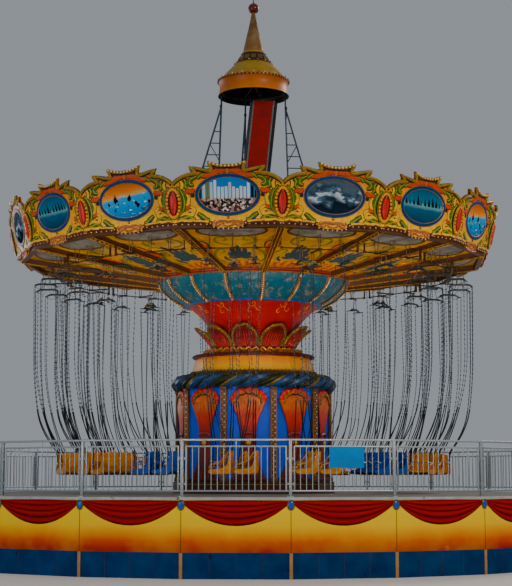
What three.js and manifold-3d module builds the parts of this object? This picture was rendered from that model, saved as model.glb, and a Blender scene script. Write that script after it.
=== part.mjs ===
// Chair swing ride: a tilting, lifting canopy with hanging chairs, on a raised twenty-four-sided deck.
// Units are millimetres, +Z is up, and the origin is on the ground on the ride's vertical axis.
// Bearings are measured from the front (-Y) towards +X.
import * as THREE from 'three';
import { mergeVertices } from 'three/addons/utils/BufferGeometryUtils.js';
import Module from 'manifold-3d';

const wasm = await Module();
wasm.setup();

const DEG = Math.PI / 180;
const SEAT_GAP = 0.4; // left between pieces that rest on each other

// Deck, its painted wall and its fence
const DECK_SIDES = 24;
const DECK_RADIUS = 7660;
const DECK_FIRST_CORNER = -24.8 * DEG;
const DECK_TOP = 1460;
const DECK_THICKNESS = 50;
const WALL_INSET = 5;
const WALL_THICKNESS = 60;
const BAYS_PER_FENCE = 2;
const FENCE_RADIUS = 7560;
const FENCE_HEIGHT = 1060;
const FENCE_POST = 56;
const FENCE_RAIL = 44;
const FENCE_BAR = 22;
const FENCE_SPACES_PER_BAY = 3; // only two of each bay's upright bars are built here
const FENCE_STILE_OFFSET = 120;
const FENCE_MIDDLE_RAIL = 920;
const FENCE_BOTTOM_RAIL = 105;
const BOARD_WIDTH = 660;
const BOARD_SHIFT = 70; // the board's middle, from the middle of its bay
const BOARD_BOTTOM = 1990;
const BOARD_TOP = 2375;

// Column that stands on the deck
const COLUMN_SIDES = 10;
const COLUMN_FIRST_CORNER = -21.5 * DEG;
const PLINTH_RADIUS = 1880;
const PLINTH_TOP = 1720;
const DRUM_RADIUS = 1760;
const DRUM_WALL = 50;
const DRUM_TOP = 4080;
const PILASTER_WIDTH = 130;
const PILASTER_DEPTH = 80;
const PILASTER_TOP = 3830;
const FAN_DEPTH = 95;
const VALANCE_RADIUS = 1880;
const VALANCE_BOTTOM = 3850;
const VALANCE_TOP = 4225;
const BAND_TOP = 4570;
const PLATE_RADIUS = 1410;
const PLATE_TOP = 4650;
const LEAF_COUNT = 10;
const LEAF_FIRST = -10.8 * DEG;
const LEAF_THICKNESS = 36;

// Mast: upright up to its bend, then leaning towards +X
const MAST_HALF_X = 250;
const MAST_HALF_Y = 210;
const MAST_BEND = 8400;
const MAST_TOP = 10770;
const MAST_LEAN = 6 * DEG;
const RAIL_DEPTH = 80;
const RAIL_HALF_Y = 90;
const LEDGE_TOP = 6340;
const TILT_HEIGHT = 6560; // height of the pins that the canopy tilts on
const PIN_WIDTH = 100;

// Canopy
const BAY_COUNT = 16;
const BAY_ANGLE = (2 * Math.PI) / BAY_COUNT;
const FIRST_SWEEP = -39 * DEG;
const HUB_INNER = 790;
const HUB_OUTER = 990;
const HUB_TOP = 6700;
const BAND_RADIUS = 2300;
const QUARTERS = ['front', 'right', 'back', 'left'];
const RIM_RADIUS = 5462.8;
const SWEEP_WIDTH = 90;
const SWEEP_DEPTH = 120;
const CEILING_INNER = 6475; // height of the ceiling's underside at the band
const CEILING_OUTER = 6925; // and at the rim
const CEILING_THICKNESS = 25;
const ROOF_COLLAR_HOLE = 780;
const ROOF_COLLAR_RADIUS = 1600;
const ROOF_TOP = 8330;
const BOARD_RING_RADIUS = 5530; // corner radius of the rounding boards at their foot
const BOARD_FOOT = 6870;
const BOARD_LEAN = 12.9 * DEG;
const BOARD_THICKNESS = 50;
const BOWL_TOP_RADIUS = 2210;
const BOWL_FOOT_RADIUS = 1590;
const BOWL_FOOT = 5800;
const CONE_TOP_RADIUS = 1510;
const CONE_FOOT_RADIUS = 760;
const CONE_FOOT = 4760;
const SHELL = 30;

// Crown above the canopy
const CROWN_RADIUS = 850;
const CROWN_BOTTOM = 10920;
const CROWN_EAVE = 11260;
const CROWN_NECK = 12130;
const SPIRE_TOP = 12990;
const BALL_RADIUS = 132;
const FINIAL_TOP = 13420;
const LEG_INNER_RADIUS = 850;
const LEG_OUTER_RADIUS = 1460;
const LEG_BEARINGS = [-84, 96, 165, 195]; // one at each side and two behind
const LEG_BAR = 46;

// Swing groups: each bay's three chairs hang on one rocking frame
const PIVOT_RADIUS = 4633;
const PIVOT_HEIGHT = 6500;
const OUTER_CHAIR_RADIUS = 4850;
const OUTER_CHAIR_OFFSET = 475;
const INNER_CHAIR_RADIUS = 4200;
const OUTER_SEAT_RADIUS = 4300; // the parked seats are drawn together, inward of their hooks
const OUTER_SEAT_OFFSET = 260;
const INNER_SEAT_RADIUS = 3760;
const SHAFT_HALF_LENGTH = 782.9;
const BEARING_WIDTH = 266;
const SWEEP_STRETCH = 1 / Math.cos(BAY_ANGLE / 2); // from a bay's middle to the sweep beside it
const FRAME_BAR = 46;
const ROD_OFFSET = 150;
const SPREADER_DROP = 290;
const SPREADER_LENGTH = 520;
const RING_DROP = 3160; // where each chain parts into its two straps
const SEAT_DROP = 4504;
const SEAT_WIDTH = 480;
const CHAIN_WIDTH = 24;

const paint = (color, roughness = 0.45, metalness = 0) =>
  new THREE.MeshStandardMaterial({ color, roughness, metalness });
const FINISH = {
  deck: paint(0x8d8a84, 0.8),
  wall: paint(0xe0a012, 0.5),
  steel: paint(0x9aa3a8, 0.35, 0.9),
  maroon: paint(0x6b1410, 0.5),
  blue: paint(0x1155b8, 0.4),
  orange: paint(0xd9560c, 0.4),
  valance: paint(0x1f4f86, 0.5),
  yellow: paint(0xd9a00c, 0.4),
  mastRed: paint(0x8f0d0a, 0.4),
  black: paint(0x15171a, 0.5),
  brown: paint(0x4a2c14, 0.5),
  boards: paint(0xd09a1c, 0.45),
  teal: paint(0x0f6f80, 0.4),
  coneRed: paint(0xb81c0c, 0.4),
  crown: paint(0xc87a12, 0.4),
  spire: paint(0x8a5a1c, 0.4),
  ball: paint(0x7a1a12, 0.35),
  frame: paint(0x27475e, 0.5),
  roof: paint(0x7a5a24, 0.6),
  board: paint(0x1687b0, 0.5),
  chairs: paint(0xe08a12, 0.5),
};

// A closed body from a geometry: vertices merged by place, empty triangles dropped, faces pointing out
function solid(geometry) {
  const bare = geometry.index ? geometry.toNonIndexed() : geometry.clone();
  bare.deleteAttribute('normal');
  bare.deleteAttribute('uv');
  const merged = mergeVertices(bare, 1e-3);
  const places = merged.attributes.position.array;
  const index = [];
  let volume = 0;
  for (let i = 0; i < merged.index.count; i += 3) {
    const [a, b, c] = [merged.index.getX(i), merged.index.getX(i + 1), merged.index.getX(i + 2)];
    if (a === b || b === c || c === a) continue;
    index.push(a, b, c);
    const [p, q, r] = [a, b, c].map((k) => new THREE.Vector3().fromArray(places, 3 * k));
    volume += p.dot(q.cross(r));
  }
  if (volume < 0) index.reverse();
  const mesh = new wasm.Mesh({
    numProp: 3,
    vertProperties: Float32Array.from(places),
    triVerts: Uint32Array.from(index),
  });
  return new wasm.Manifold(mesh);
}

const join = (bodies) => bodies.reduce((sum, body) => sum.add(body)).asOriginal();

function named(name, body, material) {
  const { vertProperties, triVerts } = body.getMesh();
  const geometry = new THREE.BufferGeometry();
  geometry.setAttribute('position', new THREE.BufferAttribute(Float32Array.from(vertProperties), 3));
  geometry.setIndex(new THREE.BufferAttribute(Uint32Array.from(triVerts), 1));
  geometry.computeVertexNormals();
  const mesh = new THREE.Mesh(geometry, material);
  mesh.name = name;
  return mesh;
}

// A turned body about Z: profile points are [radius, height]
function turned(profile, segments, firstCorner = 0) {
  const points = profile.map(([radius, height]) => new THREE.Vector2(radius, height));
  points.push(points[0].clone());
  return solid(new THREE.LatheGeometry(points, segments, firstCorner, 2 * Math.PI).rotateX(Math.PI / 2));
}

function turnedOnAxis(profile, segments) {
  const points = profile.map(([radius, height]) => new THREE.Vector2(radius, height));
  return solid(new THREE.LatheGeometry(points, segments).rotateX(Math.PI / 2));
}

const tube = (inner, outer, bottom, top, segments, firstCorner) =>
  turned([[inner, bottom], [outer, bottom], [outer, top], [inner, top]], segments, firstCorner);

// A flat outline in X and Y, raised from bottom to top
function raised(outline, bottom, top) {
  const shape = new THREE.Shape(outline.map(([x, y]) => new THREE.Vector2(x, y)));
  const geometry = new THREE.ExtrudeGeometry(shape, { depth: top - bottom, bevelEnabled: false });
  return solid(geometry.translate(0, 0, bottom));
}

// An outline given as [radial distance, height], with a width across it, set at a bearing
function radialPlate(outline, width, bearing) {
  const shape = new THREE.Shape(outline.map(([x, y]) => new THREE.Vector2(x, y)));
  const geometry = new THREE.ExtrudeGeometry(shape, { depth: width, bevelEnabled: false });
  geometry.translate(0, 0, -width / 2).rotateX(Math.PI / 2);
  return solid(geometry.rotateZ(bearing - Math.PI / 2));
}

// An outline given as [sideways, height], facing out at a bearing, with its outer face at a distance
function facingPlate(outline, distance, thickness, bearing) {
  const shape = new THREE.Shape(outline.map(([x, y]) => new THREE.Vector2(x, y)));
  const geometry = new THREE.ExtrudeGeometry(shape, { depth: thickness, bevelEnabled: false });
  geometry.rotateX(Math.PI / 2).translate(0, thickness - distance, 0);
  return solid(geometry.rotateZ(bearing));
}

function block(center, size, bearing = 0) {
  const geometry = new THREE.BoxGeometry(...size).translate(...center);
  return solid(geometry.rotateZ(bearing));
}

// A straight bar of a few sides between two points
function bar(from, to, width, sides = 4) {
  const start = new THREE.Vector3(...from);
  const run = new THREE.Vector3(...to).sub(start);
  const corners = [];
  for (let i = 0; i < sides; i++) {
    const angle = ((2 * i + 1) * Math.PI) / sides;
    corners.push(new THREE.Vector2((width / 2) * Math.cos(angle), (width / 2) * Math.sin(angle)));
  }
  const geometry = new THREE.ExtrudeGeometry(new THREE.Shape(corners), { depth: run.length(), bevelEnabled: false });
  const turn = new THREE.Quaternion().setFromUnitVectors(new THREE.Vector3(0, 0, 1), run.clone().normalize());
  return solid(geometry.applyQuaternion(turn).translate(...start.toArray()));
}

const onRing = (radius, bearing, height) => [radius * Math.sin(bearing), -radius * Math.cos(bearing), height];
const onFacing = (sideways, distance, height, bearing) => [
  sideways * Math.cos(bearing) + distance * Math.sin(bearing),
  sideways * Math.sin(bearing) - distance * Math.cos(bearing),
  height,
];
const mirrored = (half) => [...half, ...half.slice().reverse().filter(([x]) => x > 0).map(([x, y]) => [-x, y])];

function deck() {
  const corners = [];
  for (let i = 0; i < DECK_SIDES; i++) {
    corners.push(onRing(DECK_RADIUS, DECK_FIRST_CORNER + (i * 2 * Math.PI) / DECK_SIDES, 0).slice(0, 2));
  }
  return raised(corners, DECK_TOP - DECK_THICKNESS, DECK_TOP);
}

// The painted wall under the deck's edge
function wall() {
  const radius = DECK_RADIUS - WALL_INSET;
  return tube(radius - WALL_THICKNESS, radius, 0, DECK_TOP - DECK_THICKNESS - SEAT_GAP, DECK_SIDES, DECK_FIRST_CORNER);
}

// A length of fence over neighbouring sides of the deck: posts, rails and the main upright bars
function fence(length) {
  const step = (2 * Math.PI) / DECK_SIDES;
  const base = DECK_TOP + SEAT_GAP;
  const top = DECK_TOP + FENCE_HEIGHT;
  const middle = DECK_TOP + FENCE_MIDDLE_RAIL;
  const low = DECK_TOP + FENCE_BOTTOM_RAIL;
  const flat = FENCE_RADIUS * Math.cos(step / 2);
  const half = FENCE_RADIUS * Math.sin(step / 2);
  const stile = half - FENCE_STILE_OFFSET;
  const pieces = [];
  for (let i = 0; i < BAYS_PER_FENCE; i++) {
    const start = DECK_FIRST_CORNER + (length * BAYS_PER_FENCE + i) * step;
    const facing = start + step / 2;
    const reach = i === BAYS_PER_FENCE - 1 ? half - 0.57 * FENCE_POST : half;
    pieces.push(block([0, -FENCE_RADIUS, (base + top) / 2], [FENCE_POST, FENCE_POST, top - base], start));
    for (const height of [top - FENCE_RAIL / 2, low]) {
      const middleOfRail = (reach - half) / 2;
      pieces.push(block([middleOfRail, -flat, height], [half + reach, FENCE_RAIL, FENCE_RAIL], facing));
    }
    pieces.push(block([0, -flat, middle], [2 * stile, FENCE_BAR, FENCE_RAIL * 0.8], facing));
    for (const side of [-stile, stile]) {
      const foot = onFacing(side, flat, low, facing);
      pieces.push(bar(foot, [foot[0], foot[1], top - FENCE_RAIL / 2], FENCE_BAR * 1.6));
    }
    for (let k = 1; k < FENCE_SPACES_PER_BAY; k++) {
      const side = -stile + (2 * stile * k) / FENCE_SPACES_PER_BAY;
      const foot = onFacing(side, flat, low, facing);
      pieces.push(bar(foot, [foot[0], foot[1], middle], FENCE_BAR * 0.9, 3));
    }
  }
  return join(pieces);
}

// A bare board on the outside of the front fence, held by two lugs at its top
function hangingBoard() {
  const step = (2 * Math.PI) / DECK_SIDES;
  const flat = FENCE_RADIUS * Math.cos(step / 2);
  const facing = DECK_FIRST_CORNER + 2.5 * step;
  const back = flat + FENCE_RAIL / 2 + SEAT_GAP;
  const lugEnd = flat + FENCE_BAR / 2 + SEAT_GAP;
  const middle = (BOARD_TOP + BOARD_BOTTOM) / 2;
  const pieces = [block([BOARD_SHIFT, -back - 10, middle], [BOARD_WIDTH, 20, BOARD_TOP - BOARD_BOTTOM], facing)];
  for (const side of [-1, 1]) {
    const depth = back - lugEnd + 5;
    pieces.push(block([BOARD_SHIFT + side * 240, -lugEnd - depth / 2, BOARD_TOP - 8], [50, depth, 16], facing));
  }
  return join(pieces);
}

const plinth = () => turnedPolygon(0, PLINTH_RADIUS, DECK_TOP + SEAT_GAP, PLINTH_TOP);

function turnedPolygon(inner, outer, bottom, top) {
  if (inner > 0) return tube(inner, outer, bottom, top, COLUMN_SIDES, COLUMN_FIRST_CORNER);
  const profile = [[0, bottom], [outer, bottom], [outer, top], [0, top]];
  const points = profile.map(([radius, height]) => new THREE.Vector2(radius, height));
  const geometry = new THREE.LatheGeometry(points, COLUMN_SIDES, COLUMN_FIRST_CORNER, 2 * Math.PI);
  return solid(geometry.rotateX(Math.PI / 2));
}

const drum = () => turnedPolygon(DRUM_RADIUS - DRUM_WALL, DRUM_RADIUS, PLINTH_TOP + SEAT_GAP, DRUM_TOP);

// Corner posts and hourglass fans, held together by a ring at the foot and one at the head
function columnOrnament() {
  const step = (2 * Math.PI) / COLUMN_SIDES;
  const foot = PLINTH_TOP + SEAT_GAP;
  const inner = DRUM_RADIUS + SEAT_GAP;
  const flat = inner * Math.cos(step / 2);
  const pieces = [
    turnedPolygon(inner, inner + PILASTER_DEPTH, foot, foot + 80),
    turnedPolygon(inner, inner + PILASTER_DEPTH, PILASTER_TOP - 70, PILASTER_TOP),
  ];
  const half = [
    [0, 3850], [270, 3800], [420, 3670], [430, 3500], [200, 2830], [135, 2640], [330, 1780],
  ];
  for (let i = 0; i < COLUMN_SIDES; i++) {
    const corner = COLUMN_FIRST_CORNER + i * step;
    const height = (foot + PILASTER_TOP) / 2;
    const middle = inner + PILASTER_DEPTH / 2 + 2;
    pieces.push(block([0, -middle, height], [PILASTER_WIDTH, PILASTER_DEPTH - 4, PILASTER_TOP - foot], corner));
    pieces.push(facingPlate(mirrored(half), flat + FAN_DEPTH, FAN_DEPTH - 1, corner + step / 2));
  }
  return join(pieces).subtract(turnedPolygon(0, inner, foot - 50, PILASTER_TOP + 100));
}

function valance() {
  const inner = 1380;
  const profile = [
    [inner, DRUM_TOP + SEAT_GAP], [1790, DRUM_TOP + SEAT_GAP], [1845, VALANCE_BOTTOM],
    [VALANCE_RADIUS, VALANCE_BOTTOM], [1875, 4095], [1480, VALANCE_TOP], [inner, VALANCE_TOP],
  ];
  return turned(profile, 2 * COLUMN_SIDES, COLUMN_FIRST_CORNER);
}

function upperBand() {
  const foot = VALANCE_TOP + SEAT_GAP;
  return turned([[1400, foot], [1470, foot], [1350, BAND_TOP], [1280, BAND_TOP]], 20);
}

const crownPlate = () => tube(500, PLATE_RADIUS, BAND_TOP + SEAT_GAP, PLATE_TOP, 20);

// Leaves that open outward round the foot of the red cone
function leafCrown() {
  const foot = PLATE_TOP + SEAT_GAP;
  const pieces = [tube(830, 950, foot, foot + 140, LEAF_COUNT, LEAF_FIRST)];
  const line = [[880, foot + 40], [1030, 4990], [1340, 5270]];
  const inside = line.map(([radius, height]) => [radius - LEAF_THICKNESS, height + LEAF_THICKNESS * 0.6]);
  const curlOutline = [...line, ...inside.reverse()];
  const front = mirrored([
    [0, 5310], [190, 5265], [270, 5100], [160, foot + 45],
  ]);
  for (let i = 0; i < LEAF_COUNT; i++) {
    const bearing = LEAF_FIRST + (i * 2 * Math.PI) / LEAF_COUNT;
    const curl = radialPlate(curlOutline, 600, bearing);
    pieces.push(curl.intersect(facingPlate(front, 1500, 800, bearing)));
  }
  return join(pieces);
}

// Outline of an upright that follows the mast's bend, between two distances from the mast's middle
function bentOutline(left, right, foot) {
  const shift = (MAST_TOP - MAST_BEND) * Math.tan(MAST_LEAN);
  return [
    [left, foot], [right, foot], [right, MAST_BEND],
    [right + shift, MAST_TOP], [left + shift, MAST_TOP], [left, MAST_BEND],
  ];
}

function bentUpright(left, right, halfDepth, foot) {
  return radialPlate(bentOutline(left, right, foot), 2 * halfDepth, Math.PI / 2);
}

function mast() {
  const foot = PLINTH_TOP + SEAT_GAP;
  const ledge = block([0, 0, LEDGE_TOP - 20], [2 * MAST_HALF_X - 20, 2 * 330, 40]);
  return join([bentUpright(-MAST_HALF_X, MAST_HALF_X, MAST_HALF_Y, foot), ledge]);
}

const nearRail = (side) => {
  const near = side * (MAST_HALF_X + SEAT_GAP);
  const far = side * (MAST_HALF_X + RAIL_DEPTH);
  return bentUpright(Math.min(near, far), Math.max(near, far), RAIL_HALF_Y, PLINTH_TOP + SEAT_GAP);
};

// Sleeve that climbs the mast, with the two pins that the canopy tilts on
function carriage() {
  const [bottom, top] = [LEDGE_TOP + SEAT_GAP, 6860];
  const middle = (bottom + top) / 2;
  const sleeve = block([0, 0, middle], [960, 760, top - bottom]);
  const opening = block([0, 0, middle], [840, 580, 2 * (top - bottom)]);
  const pins = [-1, 1].map((side) => bar([0, side * 330, TILT_HEIGHT], [0, side * 715, TILT_HEIGHT], PIN_WIDTH, 24));
  return join([sleeve, ...pins]).subtract(opening);
}

// Ring that tilts on the carriage's pins and carries the turning hub
function tiltRing() {
  const [foot, top] = [TILT_HEIGHT - 140, TILT_HEIGHT + 140];
  const profile = [[650, foot - 40], [890, foot - 40], [890, foot], [740, foot], [740, top], [650, top]];
  const bore = bar([0, -1000, TILT_HEIGHT], [0, 1000, TILT_HEIGHT], PIN_WIDTH + 1.5, 24);
  return turned(profile, 16, Math.PI / 16).subtract(bore).asOriginal();
}

const ceilingAt = (radius) =>
  CEILING_INNER + ((CEILING_OUTER - CEILING_INNER) * (radius - BAND_RADIUS)) / (RIM_RADIUS - BAND_RADIUS);

// Hub, sixteen radial sweeps, the band over the bowl, the rim, and the bearing blocks of the swing frames
function sweepFrame() {
  const hubFoot = TILT_HEIGHT - 140 + SEAT_GAP;
  const bandFoot = CEILING_INNER - SWEEP_DEPTH;
  const rimEnd = RIM_RADIUS - 30;
  const pieces = [
    tube(HUB_INNER, HUB_OUTER, hubFoot, HUB_TOP, BAY_COUNT, FIRST_SWEEP + BAY_ANGLE / 2),
    tube(BAND_RADIUS - 120, BAND_RADIUS, bandFoot, CEILING_INNER, BAY_COUNT, FIRST_SWEEP),
    turned([
      [RIM_RADIUS - 110, CEILING_OUTER - SWEEP_DEPTH - 16], [RIM_RADIUS, CEILING_OUTER - SWEEP_DEPTH],
      [RIM_RADIUS, CEILING_OUTER], [RIM_RADIUS - 110, CEILING_OUTER - 16],
    ], BAY_COUNT, FIRST_SWEEP),
  ];
  const outline = [
    [930, bandFoot], [BAND_RADIUS, bandFoot], [rimEnd, ceilingAt(rimEnd) - SWEEP_DEPTH],
    [rimEnd, ceilingAt(rimEnd)], [BAND_RADIUS, CEILING_INNER], [930, CEILING_INNER],
  ];
  for (let i = 0; i < BAY_COUNT; i++) {
    const sweep = FIRST_SWEEP + i * BAY_ANGLE;
    pieces.push(radialPlate(outline, SWEEP_WIDTH, sweep));
    const [low, high] = [PIVOT_HEIGHT - 50, ceilingAt(PIVOT_RADIUS) - 60];
    const center = [0, -PIVOT_RADIUS * SWEEP_STRETCH, (low + high) / 2];
    pieces.push(block(center, [BEARING_WIDTH, 80, high - low], sweep));
  }
  return join(pieces);
}

function ceiling() {
  const lift = SEAT_GAP;
  const inner = BAND_RADIUS - 100;
  const profile = [
    [inner, CEILING_INNER + lift], [BAND_RADIUS, CEILING_INNER + lift], [RIM_RADIUS - 4, CEILING_OUTER + lift],
    [RIM_RADIUS - 4, CEILING_OUTER + CEILING_THICKNESS], [BAND_RADIUS, CEILING_INNER + CEILING_THICKNESS],
    [inner, CEILING_INNER + CEILING_THICKNESS],
  ];
  return turned(profile, BAY_COUNT, FIRST_SWEEP);
}

function roof() {
  const foot = CEILING_OUTER + CEILING_THICKNESS + SEAT_GAP;
  const profile = [
    [5340, foot], [RIM_RADIUS - 4, foot], [RIM_RADIUS - 4, foot + 32], [ROOF_COLLAR_RADIUS, ROOF_TOP],
    [ROOF_COLLAR_HOLE, ROOF_TOP], [ROOF_COLLAR_HOLE, ROOF_TOP - SHELL], [ROOF_COLLAR_RADIUS - 12, ROOF_TOP - SHELL],
  ];
  return turned(profile, BAY_COUNT, FIRST_SWEEP);
}

// Outline of one rounding board: sideways, and up its leaning face, half of it and mirrored
function boardOutline() {
  const half = BOARD_RING_RADIUS * Math.sin(BAY_ANGLE / 2);
  const widerAbove = Math.sin(BOARD_LEAN) * Math.sin(BAY_ANGLE / 2);
  const right = [
    [0, -75], [300, -70], [420, -20], [700, 25], [half, 0], [half + 830 * widerAbove, 830],
    [1000, 920], [850, 990], [640, 1040], [777, 1150], [300, 1060], [384, 1240], [0, 1170],
  ];
  const left = right.slice(1, -1).reverse().map(([x, y]) => [-x, y]);
  return [...right, ...left];
}

function roundingBoard(bay) {
  const shape = new THREE.Shape(boardOutline().map(([x, y]) => new THREE.Vector2(x, y)));
  const geometry = new THREE.ExtrudeGeometry(shape, { depth: BOARD_THICKNESS, bevelEnabled: false });
  const flat = BOARD_RING_RADIUS * Math.cos(BAY_ANGLE / 2);
  geometry.translate(0, 0, -BOARD_THICKNESS).rotateX(Math.PI / 2 + BOARD_LEAN);
  geometry.translate(0, -flat, BOARD_FOOT);
  return solid(geometry.rotateZ(FIRST_SWEEP + (bay + 0.5) * BAY_ANGLE));
}

// Four neighbouring boards, trimmed to their quarter of the ring
function boardQuarter(quarter) {
  const bays = BAY_COUNT / QUARTERS.length;
  const pieces = [];
  for (let i = 0; i < bays; i++) pieces.push(roundingBoard(quarter * bays + i));
  const sliver = SEAT_GAP / BOARD_RING_RADIUS;
  const start = FIRST_SWEEP + quarter * bays * BAY_ANGLE + sliver / 2;
  const end = start + bays * BAY_ANGLE - sliver;
  const middle = (start + end) / 2;
  const far = 9000;
  const wedge = [[0, 0], onRing(far, start, 0), onRing(far * 1.3, middle, 0), onRing(far, end, 0)];
  return join(pieces).intersect(raised(wedge.map(([x, y]) => [x, y]), 6000, 9000));
}

function bowl() {
  const top = CEILING_INNER - SWEEP_DEPTH - SEAT_GAP;
  const foot = BOWL_FOOT + SEAT_GAP;
  const outer = [[BOWL_FOOT_RADIUS, foot], [1870, 5950], [2110, 6150], [BOWL_TOP_RADIUS, top]];
  const inner = [[BOWL_TOP_RADIUS - 40, top], [2060, 6160], [1440, foot + 30], [1440, foot]];
  return turned([...outer, ...inner], 32, FIRST_SWEEP);
}

function cone() {
  const outer = [[CONE_FOOT_RADIUS, CONE_FOOT], [960, 5220], [1210, 5530], [CONE_TOP_RADIUS, BOWL_FOOT]];
  const inner = [[CONE_TOP_RADIUS - 45, BOWL_FOOT], [970, 5250], [CONE_FOOT_RADIUS - SHELL, CONE_FOOT]];
  return turned([...outer, ...inner], BAY_COUNT, FIRST_SWEEP);
}

// Ladder legs on the roof collar, with the ring that holds the crown
function crownFrame() {
  const foot = ROOF_TOP + SEAT_GAP;
  const apex = 10500;
  const topRadius = CROWN_RADIUS - 50;
  const pieces = [
    tube(LEG_INNER_RADIUS - 35, LEG_INNER_RADIUS + 45, foot, foot + 40, 16),
    tube(topRadius - 40, CROWN_RADIUS - 20 - SEAT_GAP, CROWN_BOTTOM + 90, CROWN_BOTTOM + 150, 24),
  ];
  const outerAt = (height) =>
    LEG_OUTER_RADIUS + ((topRadius - LEG_OUTER_RADIUS) * (height - foot)) / (apex - foot);
  const innerAt = (height) =>
    LEG_INNER_RADIUS + ((topRadius - LEG_INNER_RADIUS) * (height - foot)) / (apex - foot);
  for (const degrees of LEG_BEARINGS) {
    const bearing = degrees * DEG;
    pieces.push(bar(onRing(LEG_INNER_RADIUS, bearing, foot + 1), onRing(topRadius, bearing, CROWN_BOTTOM + 140), LEG_BAR));
    pieces.push(bar(onRing(LEG_OUTER_RADIUS, bearing, foot + 18), onRing(topRadius, bearing, apex), LEG_BAR));
    for (const height of [9000, 9700]) {
      pieces.push(bar(onRing(innerAt(height), bearing, height), onRing(outerAt(height), bearing, height), LEG_BAR * 0.8, 3));
    }
  }
  return join(pieces);
}

const crownSkirt = () => tube(CROWN_RADIUS - 20, CROWN_RADIUS, CROWN_BOTTOM, CROWN_EAVE, 24);

function crownRoof() {
  const foot = CROWN_EAVE + SEAT_GAP;
  const profile = [
    [0, foot], [880, foot], [880, foot + 35], [620, 11510], [410, 11860],
    [330, 11900], [240, CROWN_NECK], [0, CROWN_NECK],
  ];
  return turnedOnAxis(profile, 24);
}

function crownSpire() {
  const foot = CROWN_NECK + SEAT_GAP;
  return turnedOnAxis([[0, foot], [230, foot], [120, 12520], [48, SPIRE_TOP], [0, SPIRE_TOP]], 16);
}

function finial() {
  const foot = SPIRE_TOP + SEAT_GAP;
  const middle = foot + BALL_RADIUS - 3;
  const ring = (angle) => [BALL_RADIUS * Math.cos(angle * DEG), middle + BALL_RADIUS * Math.sin(angle * DEG)];
  const neck = Math.sqrt(BALL_RADIUS ** 2 - (middle - foot) ** 2);
  const profile = [[0, foot], [neck, foot], ring(-45), ring(-10), ring(25), ring(60)];
  return turnedOnAxis([...profile, [22, middle + 125], [10, FINIAL_TOP], [0, FINIAL_TOP]], 16);
}

// One chair, hung at its hook: two rods, spreader, two chains that part into straps, and a bucket seat.
// Local axes: X across the seat, Y the way the rider faces, Z up, with the hook at the origin.
// The pull [x, y] is how far the seat is drawn aside from under its hook.
function chair(pull) {
  const pieces = [block([0, 0, -SPREADER_DROP], [SPREADER_LENGTH, 60, 40])];
  const w = CHAIN_WIDTH / 2;
  const sideOfChair = [
    [-w, -SPREADER_DROP], [-w, -RING_DROP], [-196, -SEAT_DROP + 240], [-172, -SEAT_DROP + 240], [0, -RING_DROP - 60],
    [148, -SEAT_DROP + 10], [172, -SEAT_DROP + 10], [w, -RING_DROP], [w, -SPREADER_DROP],
  ];
  for (const side of [-1, 1]) {
    pieces.push(bar([side * ROD_OFFSET, 0, 0], [side * ROD_OFFSET, 0, -SPREADER_DROP], CHAIN_WIDTH, 3));
    pieces.push(drawnAside(acrossChair(sideOfChair, side * (SEAT_WIDTH / 2 - 13), 14), pull));
  }
  const bucket = [[-230, -110], [215, -110], [215, 30], [-40, 190], [-180, 370], [-230, 370]];
  const hollow = [[-195, -55], [400, -55], [400, 500], [-195, 500]];
  const atSeat = (outline) => outline.map(([y, z]) => [y, z - SEAT_DROP]);
  const seat = acrossChair(atSeat(bucket), 0, SEAT_WIDTH).subtract(acrossChair(atSeat(hollow), 0, SEAT_WIDTH - 50));
  pieces.push(drawnAside(seat, pull));
  return join(pieces);
}

// Moves what is under a chair's rings aside: not at all at the rings, and by the whole pull at the seat
function drawnAside(body, [x, y]) {
  const fall = SEAT_DROP - 370 - RING_DROP;
  return body.warp((place) => {
    const share = Math.min(1, Math.max(0, (-RING_DROP - place[2]) / fall));
    place[0] += x * share;
    place[1] += y * share;
  });
}

// An outline given as [forward, height] in a chair's axes, with a width centred at a distance across the seat
function acrossChair(outline, across, width) {
  const shape = new THREE.Shape(outline.map(([y, z]) => new THREE.Vector2(y, z)));
  const geometry = new THREE.ExtrudeGeometry(shape, { depth: width, bevelEnabled: false });
  geometry.translate(0, 0, -width / 2).rotateX(Math.PI / 2).rotateZ(Math.PI / 2);
  return solid(geometry.translate(across, 0, 0));
}

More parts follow.
